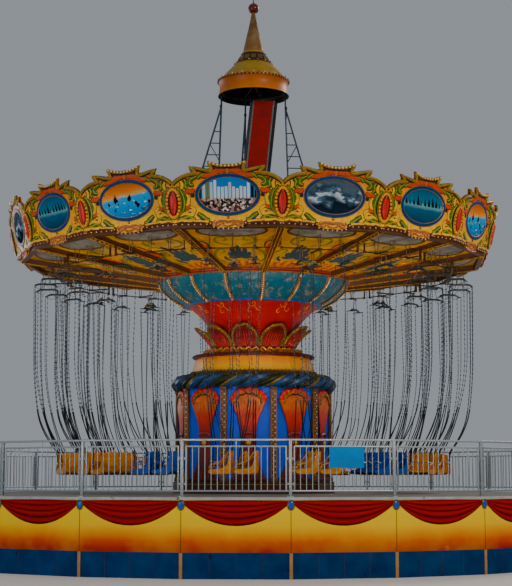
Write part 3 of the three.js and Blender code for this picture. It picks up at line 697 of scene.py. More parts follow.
# Satin paint: amber curls with darker hollows.
SCROLL = Finish("orange_gold_scroll_paint", "#dc8804", "#b05404", roughness=0.4, coat=0.1)
# Sprayed glass fibre: red that goes near black at its foot.
CONE = Finish("cone_red_fade_paint", "#b80a02", "#d01404", patch=380, mix=0.35, roughness=0.38, coat=0.05,
              fade=((4.74, "#340402"), (5.05, "#900402"), (5.5, "#ac0802"), (5.8, "#9c0a04")), wave=0.06)
# Lining paint: fine amber curls that stay flat on the red.
CONE_LINE = Finish("cone_gold_line_paint", "#f09410", "#c06406", roughness=0.45)
# Gloss enamel: a clear blue ring between cone and bowl.
RING_BLUE = Finish("bowl_ring_blue_paint", "#0450b0", "#043888", patch=120, roughness=0.36, coat=0.1)
# Enamel on sheet steel: teal with large grey clouds where it has chalked.
BOWL = Finish("teal_bowl_paint", "#066078", "#04485c", patch=260, mix=0.6, roughness=0.42, coat=0.04,
              wear="#70706c", worn=0.62)
# Bronze paint: dull brown straps under the lamps.
BOWL_RIB = Finish("bowl_rib_brown_paint", "#7a5c34", "#4a3820", patch=50)
# Shadow paint: dark lines that cut the straps from the bowl.
BOWL_EDGE = Finish("bowl_rib_shadow_paint", "#1e1810", "#2e2416")
# Enamel: a deep red hoop over the bowl.
BAND_RED = Finish("bowl_band_red_paint", "#8a0e06", "#5c0604", patch=200, roughness=0.38, coat=0.05)
# Varnished plywood: golden yellow with ochre clouds and brown spots.
CEILING = Finish("golden_ceiling_paint", "#f0b00c", "#c88404", patch=420, mix=0.7, roughness=0.42, coat=0.03,
                 wear="#7a5208", worn=0.12)
# Scenic paint: soft grey clouds in each panel.
CEILING_OVAL = Finish("grey_cloud_panel_paint", "#9a948a", "#585048", patch=240, mix=0.9, roughness=0.55)
# Satin paint: a brown frame round the clouds.
OVAL_RIM = Finish("brown_oval_rim_paint", "#6a3808", "#4a2606")
# Stencil paint: dull teal leaves that stand out from the gold.
PALMETTE = Finish("dark_teal_palmette_paint", "#3c5660", "#243a44")
# Stencil paint: olive curls that stay close to the ground's tone.
CURL = Finish("olive_curl_paint", "#8a8c08", "#5c6404", patch=70)
# Stencil paint: orange tongues, the warmest mark of the ceiling.
FLAME = Finish("flame_orange_paint", "#e05404", "#c43804", patch=80, roughness=0.45)
# Timber paint: dark ribs with rubbed ochre edges.
RIB = Finish("dark_rib_paint", "#5a3410", "#3a200a", patch=160, coat=0.02, wear="#84601c", worn=0.2)
# Sprayed glass fibre: yellow that turns orange at the head, broken by brown weather spots.
BOARD = Finish(
    "golden_board_fade_paint", "#d89c08", "#94640a", patch=90, mix=0.4, roughness=0.42, coat=0.04,
    wear="#6a480a", worn=0.12, fade=((-0.1, "#d89c04"), (0.06, "#f0b804"), (0.3, "#e4a804"), (0.8, "#e09008"),
                                     (1.0, "#d46404")), along=Along.MAP_Y, wave=0.05, shine=0.2)
# Scenic paint: mid and dark green in strokes as wide as a brush.
LEAF_GREEN = Finish("leaf_green_paint", "#4a7406", "#1c4208", patch=80, mix=0.85, roughness=0.42, coat=0.03,
                    shine=0.2)
# Scenic paint: green so dark that it reads as shade.
LEAF_DARK = Finish("leaf_shadow_paint", "#10240c", "#241a08", mix=0.8)
# Scenic paint: bright leaf lights over the green.
LEAF_YELLOW = Finish("leaf_yellow_paint", "#e4ae04", "#c07404", patch=90, mix=0.6, roughness=0.4, coat=0.03,
                     shine=0.2)
# Scenic paint: orange petals.
LEAF_ORANGE = Finish("leaf_orange_paint", "#c84404", "#942404", patch=90, roughness=0.42, coat=0.03,
                     shine=0.2)
# Bronze powder on glass fibre: old gold with green-brown hollows.
MOULDING = Finish("board_moulding_gilt", "#9a7a10", "#5c440a", patch=70, mix=0.7, grain=3, bump=0.7,
                  roughness=0.45, metallic=0.1, coat=0.02, shine=0.2)
# Satin paint: brown lines that hold the board's edge.
BORDER_BROWN = Finish("brown_border_paint", "#5c3010", "#3c1c0a", patch=80, shine=0.2)
# Gloss paint: a row of amber beads round each gem.
BEAD_ORANGE = Finish("orange_bead_paint", "#e09408", "#c06c04", roughness=0.36, coat=0.08, shine=0.25)
# Matt shadow paint: the dark line that lifts a moulding off its ground.
SHADOW_LINE = Finish("moulding_shadow_paint", "#1c1004", "#301e06", patch=80, roughness=0.55)
# Satin enamel: a deep blue frame that keeps the picture apart from the gold.
OVAL_BLUE = Finish("oval_blue_moulding_paint", "#023468", "#022450", patch=90, roughness=0.42, coat=0.03,
                   shine=0.15)
# Gloss enamel over a facet: clear red with a soft glint.
GEM = Finish("red_gem_paint", "#cc1404", "#980a04", patch=90, roughness=0.3, coat=0.2)
# Bronze paint with rose: broken highlights on the curled scrolls.
SCROLL_PINK = Finish("rose_gold_scroll_paint", "#b0603c", "#6a3420", patch=50, mix=0.7, roughness=0.45,
                     metallic=0.05, shine=0.2)
# Weathered exterior paint: faded brown with lighter washed areas.
ROOF = Finish("weathered_roof_paint", "#6a4c1c", "#4c381a", patch=700, roughness=0.6, wear="#846030",
              worn=0.3)
# Satin enamel: orange that darkens to brown under the eave.
CROWN_ORANGE = Finish("crown_orange_paint", "#b86004", "#964c04", patch=420, mix=0.6, roughness=0.42,
                      coat=0.03, fade=((10.9, "#c87810"), (11.0, "#b86404"), (11.26, "#a85404")), shine=0.2)
# Matt near-black paint: painted shade inside the crown's skirt and under its roof, so that the inside reads
# as a dark hollow.
CROWN_DARK = Finish("crown_inside_painted_shade", "#14100a", "#201810", patch=200, roughness=0.7)
# Satin enamel: orange at the eave, then olive up the curve.
CROWN_OLIVE = Finish(
    "crown_olive_paint", "#a08c08", "#b47c08", patch=260, mix=0.7, roughness=0.42, coat=0.03,
    fade=((11.29, "#a05c06"), (11.36, "#8c6c08"), (11.46, "#7c7008"), (11.95, "#807208"), (12.02, "#746808")),
    shine=0.2)
# Satin paint: dark notches and a dark band.
CROWN_BROWN = Finish("crown_brown_paint", "#2c180a", "#40260e", patch=100)
# Lining paint: pale squares on the dark band.
CROWN_SQUARE = Finish("crown_square_line_paint", "#8a7058", "#6a4c38")
# Aged bronze paint: golden brown, darker towards the tip.
SPIRE = Finish("spire_gold_brown_paint", "#7a4c1c", "#8c7450", patch=260, mix=0.6, roughness=0.42, coat=0.03,
               fade=((12.0, "#785024"), (12.5, "#644420"), (13.0, "#4c341c")), shine=0.2)
# Gloss enamel: a dark red ball with one glint.
BALL_RED = Finish("dark_red_ball_paint", "#5e0e0a", "#3a0a08", patch=90, roughness=0.3, coat=0.2)
# Satin steel paint: grey blue legs that stay behind the boards.
LEG_BLUE = Finish("blue_grey_leg_paint", "#24404e", "#14242e", patch=120)
# Machine enamel: dark red with grease-dulled patches.
MAST_RED = Finish("dark_mast_red_paint", "#980604", "#6c0402", patch=420, mix=0.7, roughness=0.45, coat=0.03,
                  wear="#480c08", worn=0.2, shine=0.15)
# Painted rods in the shade: dull tan, without shine.
SWEEP_STEEL = Finish("tan_hanger_rod_paint", "#6c5a38", "#443620", roughness=0.55)
# Painted steel in the shade: near black brown.
SWING_FRAME = Finish("brown_swing_frame_paint", "#3c280c", "#241808", patch=90, roughness=0.55)
# Bare drawn steel: a pale worn edge on each corner.
MAST_EDGE = Finish("pale_mast_edge_steel", "#82888a", "#5a6062", patch=200, roughness=0.45, metallic=0.5)
# Oiled rail steel: mid grey with a dull sheen.
RAIL_GREY = Finish("grey_rail_steel", "#54585c", "#3a3c40", patch=160, roughness=0.45, metallic=0.5)
# Gloss paint on the rail: near black with a blue cast.
RAIL_BLACK = Finish("black_rail_paint", "#0e1216", "#16242e", patch=260, roughness=0.36, coat=0.1)
# Turned steel: clean grey with a metal sheen.
MACHINE = Finish("machined_carriage_steel", "#6c7074", "#4a4e52", patch=80, roughness=0.4, metallic=0.7)
# Glass fibre seat: orange gel coat with large brown patches.
SEAT_ORANGE = Finish("orange_moulded_seat", "#d88a02", "#a85a04", patch=110, mix=0.7, roughness=0.4,
                     coat=0.05, wear="#5a300a", worn=0.3)
# The same gel coat in blue, paler where it has rubbed.
SEAT_BLUE = Finish("blue_moulded_seat", "#0648a8", "#043480", patch=110, mix=0.6, roughness=0.4, coat=0.08,
                   wear="#285a8a", worn=0.15)
# Blacked steel: dark bars against the ceiling.
SPREADER = Finish("dark_spreader_steel", "#24343c", "#182428", roughness=0.45, metallic=0.2)
# Faded paint on sheet steel: dull ochre hoods.
HANGER = Finish("hanger_hood_paint", "#8a7448", "#5c4a2c", patch=70, roughness=0.55)
# Rubber pad: dark brown and matt.
HANGER_BLOCK = Finish("dark_brown_pad", "#3c1c0c", "#241008", patch=70, roughness=0.55)
# Zinc-plated links coloured dark and slightly blue as painted shade. Links are drawn longer than the real 40
# mm.
CHAIN = Finish("zinc_plated_chain", "#1c2a34", "#34444f", patch=30, mix=0.6, grain=3, roughness=0.55,
               metallic=0.2)
# Rubber hose over the chain: matt black lines.
SLEEVE = Finish("black_chain_sleeve", "#08090b", "#121416", roughness=0.6)
# Polished tube: a bright thin line over each lap.
BAR_STEEL = Finish("polished_lap_bar_steel", "#9aa0a4", "#74797e", roughness=0.3, metallic=0.8)


class View(Enum):
    """What a painted oval shows: four seaside views of this maker's own."""

    POSTS = "posts"
    SUNSET = "sunset"
    SURF = "surf"
    EVENING = "evening"


@dataclass
class Brush:
    """Paints one oval, by its own map in metres from the oval's middle.

    Attributes:
        tree: the material's nodes.
        place: the map.
        x: how far right of the middle.
        y: how far above the middle.
    """

    tree: Tree
    place: Socket
    x: Socket
    y: Socket

    def over(self, share: Socket, below: Socket | tuple, above: Socket | tuple) -> Socket:
        """Lays one colour over another by a share."""
        colours = {"Factor": share, "A": below, "B": above}
        return add_node(self.tree, "Mix", colours, data_type="RGBA").outputs["Result"]

    def step(self, value: Socket, low: float, high: float) -> Socket:
        """A share that rises from 0 to 1 while a value goes from low to high."""
        return add_node(
            self.tree, "MapRange", {"Value": value, "From Min": low, "From Max": high}).outputs["Result"]

    def tilted(self, level: Socket, by: Socket, amount: float) -> Socket:
        """A level that is tilted or rippled by an amount of another value."""
        return add_node(self.tree, "Math", {0: by, 1: amount, 2: level},
                        operation="MULTIPLY_ADD").outputs["Value"]

    def meet(self, *shares: Socket) -> Socket:
        """The share of the picture that lies in all of these.

        Args:
            shares: what is multiplied.

        Returns:
            The share.
        """
        whole = shares[0]
        for share in shares[1:]:
            whole = add_node(self.tree, "Math", {0: whole, 1: share}, operation="MULTIPLY").outputs["Value"]
        return whole

    def noise(self, scale: tuple[float, float], detail: float = 3.0, shift: float = 0.0) -> Socket:
        """Soft noise over the picture.

        Args:
            scale: waves for each metre across and up.
            detail: how finely it breaks up.
            shift: how far it is moved, to look different.

        Returns:
            The noise, from 0 to 1.
        """
        size = {"Vector": self.place, "Scale": (*scale, 1.0), "Location": (shift, shift, 0)}
        mapped = add_node(self.tree, "Mapping", size).outputs["Vector"]
        return add_node(
            self.tree, "TexNoise", {"Vector": mapped, "Scale": 1.0, "Detail": detail}).outputs["Fac"]

    def columns(self, wide: float) -> tuple[Socket, Socket]:
        """Cuts the picture into upright columns.

        Args:
            wide: width of a column.

        Returns:
            A random number for each column, and how far right of its column's left side a point is.
        """
        column = add_node(self.tree, "Math", {0: self.x, 1: wide}, operation="SNAP").outputs["Value"]
        pick = add_node(self.tree, "TexWhiteNoise", {"W": column}, noise_dimensions="1D").outputs["Value"]
        within = add_node(self.tree, "Math", {0: self.x, 1: wide},
                          operation="FLOORED_MODULO").outputs["Value"]
        return pick, within

    def under(self, pick: Socket, low: float, high: float, level: Socket,
              edge: tuple[float, float]) -> Socket:
        """The share of a column that lies under its own random height.

        Args:
            pick: the column's random number.
            low: the least height.
            high: the greatest height.
            level: the height that is compared with it.
            edge: how far under it the share is 0, and how far it is 1.

        Returns:
            The share.
        """
        reach = add_node(
            self.tree, "MapRange", {"Value": pick, "To Min": low, "To Max": high}).outputs["Result"]
        gap = add_node(self.tree, "Math", {0: reach, 1: level}, operation="SUBTRACT").outputs["Value"]
        return self.step(gap, *edge)

    def posts(self) -> Socket:
        """Painted mooring posts of uneven height before a blue sky, over a shingle beach.

        Returns:
            The colour output.
        """
        sky = ramp(
            self.tree, self.y, -0.4, 0.4, ((0.0, "#6f5f5a"), (0.42, "#5c5048"), (0.5, "#0c78b8"),
                                           (1.0, "#0468b0")))
        pick, within = self.columns(0.075)
        tint = ramp(self.tree, pick, 0.0, 1.0, (
            (0.0, "#b8c4c8"), (0.26, "#0c141c"), (0.48, "#a8b4ba"), (0.62, "#0c3050"), (0.76, "#c0c8cc"),
            (0.9, "#647414")), hard=True)
        inside = self.meet(self.under(pick, 0.12, 0.33, self.y, (-0.01, 0.0)),
                           self.step(within, 0.018, 0.022), self.step(self.y, -0.12, -0.06))
        picture = self.over(inside, sky, tint)
        pebbles = add_node(self.tree, "TexVoronoi", {"Vector": self.place, "Scale": 22.0}).outputs["Color"]
        tone = add_node(self.tree, "SeparateXYZ", {"Vector": pebbles}).outputs["X"]
        stones = ramp(self.tree, tone, 0.0, 1.0, (
            (0.0, "#3c302c"), (0.3, "#8a6c64"), (0.46, "#1c1814"), (0.66, "#a8847c"),
            (0.84, "#c4bcb4")), hard=True)
        return self.over(self.step(self.y, -0.06, -0.1), picture, stones)

    def sunset(self) -> Socket:
        """An orange sky over a bright blue bay with dark rocks.

        Returns:
            The colour output.
        """
        tilt = self.tilted(self.tilted(self.y, self.x, -0.12), self.noise((2.0, 9.0)), 0.12)
        base = ramp(self.tree, tilt, -0.35, 0.45, (
            (0.0, "#0460a0"), (0.3, "#0884c4"), (0.58, "#2498cc"), (0.64, "#d8984c"), (0.74, "#d87420"),
            (1.0, "#a85014")))
        band = self.step(self.y, 0.16, 0.08)
        rocks = self.step(self.noise((6.5, 4.0), 4.0, 3.1), 0.56, 0.58)
        picture = self.over(self.meet(rocks, band, self.step(self.y, -0.28, -0.14)), base, linear("#10161c"))
        foam = self.step(self.noise((9.0, 22.0), 4.0, 7.7), 0.64, 0.68)
        return self.over(self.meet(foam, band), picture, linear("#dfe8ea"))

    def surf(self) -> Socket:
        """Dark breaking waves with pale foam.

        Returns:
            The colour output.
        """
        swell = self.tilted(self.y, self.noise((2.4, 2.4), 2.0, 1.3), 0.9)
        base = ramp(self.tree, swell, 0.0, 0.9, (
            (0.0, "#16283a"), (0.3, "#0e1c2a"), (0.5, "#3c5a70"), (0.62, "#20384a"), (0.8, "#46586a"),
            (1.0, "#2c3e36")))
        foam = self.step(self.noise((4.0, 9.0), 6.0, 5.2), 0.5, 0.58)
        crest = self.meet(foam, self.step(swell, 0.3, 0.42), self.step(swell, 0.62, 0.5))
        return self.over(crest, base, linear("#a8bcc8"))

    def evening(self) -> Socket:
        """A deep blue evening sea with a pale horizon and far sails.

        Returns:
            The colour output.
        """
        level = self.tilted(self.y, self.noise((3.0, 14.0)), 0.1)
        base = ramp(self.tree, level, -0.35, 0.45, (
            (0.0, "#04304c"), (0.4, "#085070"), (0.52, "#5c98a4"), (0.58, "#106a88"), (1.0, "#064468")))
        pick, within = self.columns(0.11)
        sail = self.under(pick, 0.12, 0.26, self.tilted(self.y, within, 2.2), (0.0, 0.01))
        share = self.meet(sail, self.step(self.y, 0.0, 0.01), self.step(within, 0.008, 0.012))
        return self.over(share, base, linear("#0c1822"))


@dataclass(frozen=True)
class Picture:
    """Scenic paint on a smooth board: an oval view that stays matt, so that its colours hold from every side.

    Attributes:
        view: which view it shows.
    """

    view: View

    @property
    def name(self) -> str:
        """The material's name."""
        return f"{self.view.value}_picture_paint"

    def material(self) -> bpy.types.Material:
        """Makes the picture as a matt painted material, once.

        Returns:
            The material.
        """
        known = bpy.data.materials.get(self.name)
        if known:
            return known
        made = bpy.data.materials.new(self.name)
        made.use_nodes = True
        tree = made.node_tree
        shader = tree.nodes["Principled BSDF"]
        shader.inputs["Specular IOR Level"].default_value = 0.0
        shader.inputs["Roughness"].default_value = 0.5
        place = add_node(tree, "TexCoord").outputs["UV"]
        axes = add_node(tree, "SeparateXYZ", {"Vector": place}).outputs
        brush = Brush(tree, place, axes["X"], axes["Y"])
        paint = {View.POSTS: brush.posts, View.SUNSET: brush.sunset, View.SURF: brush.surf,
                 View.EVENING: brush.evening}[self.view]
        tree.links.new(paint(), shader.inputs["Base Color"])
        return made


# Ride parts

DECK_CORNER = -24.8 * DEG
DECK_STEP = 15 * DEG
COLUMN_CORNER = -21.5 * DEG
COLUMN_STEP = 36 * DEG
FIRST_SWEEP = -39 * DEG
SHAFT_REACH = 4.633
BAY = 22.5 * DEG
DECK_POSTS = [DECK_CORNER + i * DECK_STEP for i in range(24)]
DECK_SIDES = [DECK_CORNER + (i + 0.5) * DECK_STEP for i in range(24)]
COLUMN_EDGES = [COLUMN_CORNER + i * COLUMN_STEP for i in range(10)]
COLUMN_SIDES = [COLUMN_CORNER + (i + 0.5) * COLUMN_STEP for i in range(10)]
SWEEPS = [FIRST_SWEEP + i * BAY for i in range(16)]
BAYS = [FIRST_SWEEP + (i + 0.5) * BAY for i in range(16)]
EDGEWISE = Matrix.Rotation(math.pi / 2, 4, "Z") @ Matrix.Rotation(math.pi / 2, 4, "X")


def smooth_path(points: Sequence[Point], steps: int = 4, closed: bool = False) -> list[Vector]:
    """Runs a smooth curve through a few points.

    Args:
        points: the points that it passes.
        steps: how many points it gets for each stretch.
        closed: whether it comes back to its start.

    Returns:
        The curve's points.
    """
    knots = [Vector(point) for point in points]
    count = len(knots)
    made = []
    for i in range(count if closed else count - 1):
        a = knots[i - 1] if closed or i else knots[0]
        b, c = knots[i], knots[(i + 1) % count]
        d = knots[(i + 2) % count] if closed or i + 2 < count else knots[-1]
        for k in range(steps):
            t = k / steps
            made.append(
                0.5 * (2 * b + (c - a) * t + (2 * a - 5 * b + 4 * c - d) * t * t
                       + (3 * b - a - 3 * c + d) * t ** 3))
    return made if closed else [*made, knots[-1]]


def swell(count: int, least: float, first: float, last: float) -> list[float]:
    """Shares of a brush stroke's full width, which starts thin, swells and thins out.

    Args:
        count: how many points the stroke has.
        least: its least share.
        first: where in the swell it starts, as a share of half a turn.
        last: where it ends.

    Returns:
        A share for each point.
    """
    places = [first + (last - first) * i / (count - 1) for i in range(count)]
    return [least + (1 - least) * math.sin(math.pi * min(1, place)) for place in places]


def ellipse(wide: float, high: float, count: int = 48, centre: Point = (0, 0)) -> list[Point]:
    """The points of an upright ellipse, by its half width and half height."""
    return [(centre[0] + wide * math.cos(TURN * i / count), centre[1] + high * math.sin(TURN * i / count))
            for i in range(count)]


def wear(node: str, finish: Finish) -> None:
    """Gives a solid that stays as it is its finish."""
    for slot in bpy.data.objects[node].material_slots:
        slot.material = finish.material()


@dataclass
class Stage:
    """The floor, the pale surroundings, the soft lamps and the camera.

    Attributes:
        eye: where the camera stands.
        pitch: how far it looks up, in degrees.
        lens: its focal length for a 36 mm frame.
    """

    eye: Point = (0.06, -34.0, 1.8)
    pitch: float = 7.3
    lens: float = 88.894

    def build(self) -> None:
        """Sets up all of it."""
        self.camera()
        self.floor()
        self.surroundings()
        self.lamp("key_lamp", (17, -25, 19), (0, 0, 6), 9, 3900, "#fff2e0")
        self.lamp("fill_lamp", (-20, -24, 8), (0, 0, 5), 14, 1850, "#f0f4ff")
        self.lamp("rim_lamp", (18, 16, 20), (0, 0, 9), 8, 2400, "#ffffff")
        self.lamp("back_lamp", (-18, 16, 10), (0, 0, 5), 12, 1200, "#eef4ff")
        self.lamp("under_lamp", (0, -16, 0.6), (0, -3, 5.4), 11, 110, "#fff0d8", low=1.0, spread=27)

    def camera(self) -> None:
        """Places the camera as the photographer stood."""
        data = bpy.data.cameras.new("camera")
        data.lens = self.lens
        data.sensor_width = 36
        data.clip_end = 400
        made = bpy.data.objects.new("camera", data)
        made.location = self.eye
        made.rotation_euler = ((90 + self.pitch) * DEG, 0, 0)
        bpy.context.scene.collection.objects.link(made)
        bpy.context.scene.camera = made

    def lamp(self, name: str, place: Point, target: Point, size: float, power: float, code: str,
             low: float | None = None, spread: float = 180) -> None:
        """Adds a soft lamp.

        Args:
            name: its name.
            place: where it hangs.
            target: what it lights.
            size: its width in metres.
            power: its power in watts.
            code: its colour.
            low: its height, where it isn't square.
            spread: how wide its light fans out, in degrees.
        """
        data = bpy.data.lights.new(name, "AREA")
        data.shape = "RECTANGLE"
        data.size = size
        data.size_y = size if low is None else low
        data.spread = spread * DEG
        data.energy = power
        data.color = linear(code)[:3]
        made = bpy.data.objects.new(name, data)
        made.location = place
        made.rotation_euler = (Vector(target) - Vector(place)).to_track_quat("-Z", "Y").to_euler()
        bpy.context.scene.collection.objects.link(made)

    def floor(self) -> None:
        """Lays the pale floor."""
        bm = bmesh.new()
        bmesh.ops.create_circle(bm, cap_ends=True, segments=96, radius=160)
        mesh = bpy.data.meshes.new("floor")
        bm.to_mesh(mesh)
        bm.free()
        mesh.materials.append(PALE_FLOOR.material())
        made = bpy.data.objects.new("floor", mesh)
        bpy.context.scene.collection.objects.link(made)

    def surroundings(self) -> None:
        """Fills the background with a soft pale light."""
        world = bpy.data.worlds.new("pale_surroundings")
        world.use_nodes = True
        shade = world.node_tree.nodes["Background"]
        shade.inputs["Color"].default_value = linear("#dfe7f0")
        shade.inputs["Strength"].default_value = 0.38
        bpy.context.scene.world = world


@dataclass
class Deck:
    """The raised floor, its painted skirt, its fence and the bare board.

    Attributes:
        radius: from the axis to a corner of the edge.
        top: height of the floor.
        skirt: from the axis to a corner of the painted skirt.
        fence: from the axis to a fence post.
        bars: upright bars between two stiles.
        pitch: distance between the bars.
    """

    radius: float = 7.66
    top: float = 1.46
    skirt: float = 7.635
    fence: float = 7.56
    bars: int = 15
    pitch: float = 0.114

    def build(self) -> None:
        """Builds the pieces of the deck."""
        self.floor()
        self.painted_skirt()
        self.drapes()
        self.fences()
        wear("hanging_board", BOARD_BLUE)

    def floor(self) -> None:
        """Builds the floor of steel plates on a frame with a pale edge."""
        work = Work()
        steps = range(24)
        work.lathe(oblong(0, self.radius - 0.012, 1.41, 1.452), 24, 1, DECK_CORNER)
        work.lathe(
            [(self.radius - 0.012, 1.411), (self.radius, 1.411), (self.radius, 1.456),
             (self.radius - 0.004, 1.4598), (self.radius - 0.09, 1.4598), (self.radius - 0.09, 1.452),
             (self.radius - 0.012, 1.452)], 24, 2, DECK_CORNER)
        for inner, outer in ((1.92, 3.8), (3.81, 5.68), (5.69, 7.562)):
            for i in steps:
                left, right = DECK_POSTS[i], DECK_CORNER + (i + 1) * DECK_STEP
                gap = 0.004
                ends = [on_ring(outer, left + gap / outer).xy, on_ring(outer, right - gap / outer).xy,
                        on_ring(inner, right - gap / inner).xy, on_ring(inner, left + gap / inner).xy]
                work.plate(ends, 0.0076, 0, 1.452)
        work.piece("deck_floor", "base", [DECK_PLATE, SEAM, EDGE_BAND], ["deck"])

    def painted_skirt(self) -> None:
        """Builds the painted panels on their navy base, with battens and seams over their joints."""
        work = Work()
        r = self.skirt
        work.lathe(oblong(r - 0.04, r, 0.468, 1.4096), 24, 0, DECK_CORNER)
        work.lathe(
            [(r - 0.04, 0.0), (r + 0.0035, 0.0), (r + 0.0035, 0.465), (r + 0.0005, 0.47), (r - 0.04, 0.47)],
            24, 3, DECK_CORNER)
        for i in range(24):
            place = facing(DECK_POSTS[i], r - 0.002)
            work.block((0, 0.233, 0.005), (0.062, 0.464, 0.014), 1, place, soft=0.003)
            work.block((0, 0.84, 0.0005), (0.01, 0.74, 0.006), 2, place)
            middle = facing(DECK_SIDES[i], r * math.cos(DECK_STEP / 2) + 0.0035)
            for x in (-0.48, 0.0, 0.48):
                work.block((x, 0.232, 0.0), (0.006, 0.455, 0.003), 2, middle)
        work.piece("painted_skirt", "base", [SKIRT, BATTEN, SEAM, SKIRT_BASE], ["wall"])

    def drapes(self) -> None:
        """Builds the painted swags in low relief, and the jewels that they hang from."""
        work = Work()
        flat = self.skirt * math.cos(DECK_STEP / 2)

        def drape(u: float, v: float) -> Point:
            """Gives a point of the swag for shares across it and up it.

            Args:
                u: share across.
                v: share up.

            Returns:
                The point.
            """
            side = 2 * u - 1
            hem = 0.945 + 0.375 * abs(side) ** 2.1
            head = 1.408 - 0.01 * abs(side)
            fold = sum(math.exp(-((v - at) / 0.055) ** 2) for at in (0.2, 0.43, 0.66, 0.88))
            edge = min(1.0, 8 * v, 14 * (1 - abs(side)) + 0.25)
            return (0.945 * side, hem + (head - hem) * v, (0.005 + 0.011 * min(1.0, fold)) * edge)

        swag = Work()
        swag.sheet(24, 18, drape, 0, thick=0.003)
        pattern = swag.pattern("swag")
        work.stamp(pattern, [facing(side, flat) for side in DECK_SIDES])
        jewel = Work()
        jewel.ball((0, 0, 0.0), 0.058, 1, (0.86, 1.28, 0.22), fine=2)
        jewel.tube(raised(ellipse(0.058, 0.086, 24), 0.002), 0.012, 6, 2, 0.7, (0, 0, 1), closed=True)
        gem = jewel.pattern("jewel")
        work.stamp(gem, [facing(post, self.skirt + 0.002, 1.318) for post in DECK_POSTS])
        work.piece("painted_drapes", "base", [SWAG, JEWEL, JEWEL_RIM])

    def fence_bay(self) -> Mesh:
        """Makes one bay between two posts, as a pattern for a face.

        Returns:
            The pattern.
        """
        work = Work()
        half = self.fence * math.sin(DECK_STEP / 2)
        stile = (self.bars + 1) / 2 * self.pitch
        work.rod((-half, 1.039, 0), (half, 1.039, 0), 0.021, 10)
        work.rod((-stile, 0.92, 0), (stile, 0.92, 0), 0.0165, 8)
        work.rod((-half, 0.112, 0), (half, 0.112, 0), 0.018, 8)
        for side in (-1, 1):
            work.rod((side * stile, 0.1, 0), (side * stile, 0.93, 0), 0.0165, 8)
            for height in (0.24, 0.7):
                work.rod((side * stile, height, 0), (side * half, height, 0), 0.012, 6)
                work.block((side * (stile + 0.03), height, 0), (0.024, 0.04, 0.034), soft=0.004)
        for i in range(self.bars):
            x = (i - (self.bars - 1) / 2) * self.pitch
            work.rod((x, 0.112, 0), (x, 0.92, 0), 0.0095, 6)
        work.rod((0, 0.92, 0), (0, 1.03, 0), 0.012, 6)
        return work.pattern("fence_bay")

    def fence_post(self) -> Mesh:
        """Makes a post with its foot plate and its cap, as a pattern for a face.

        Returns:
            The pattern.
        """
        work = Work()
        work.block((0, 0.512, 0), (0.054, 1.016, 0.054), soft=0.006)
        work.block((0, 1.03, 0), (0.062, 0.02, 0.062), soft=0.006)
        work.block((0, 0.008, 0.0), (0.12, 0.012, 0.12), soft=0.003)
        for x in (-0.045, 0.045):
            for z in (-0.045, 0.045):
                work.rod((x, 0.012, z), (x, 0.026, z), 0.011, 6)
        work.block((0, -0.02, 0.062), (0.07, 0.075, 0.012), soft=0.003)
        return work.pattern("fence_post")

    def fences(self) -> None:
        """Builds the twelve lengths of fence."""
        bay, post = self.fence_bay(), self.fence_post()
        flat = self.fence * math.cos(DECK_STEP / 2)
        for length in range(12):
            work = Work()
            for i in (2 * length, 2 * length + 1):
                work.stamp(post, [facing(DECK_POSTS[i], self.fence, self.top)])
                work.stamp(bay, [facing(DECK_SIDES[i], flat, self.top)])
            number = f"{length + 1:02d}"
            work.piece(f"fence_length_{number}", "base", [STEEL], [f"fence_{number}"])


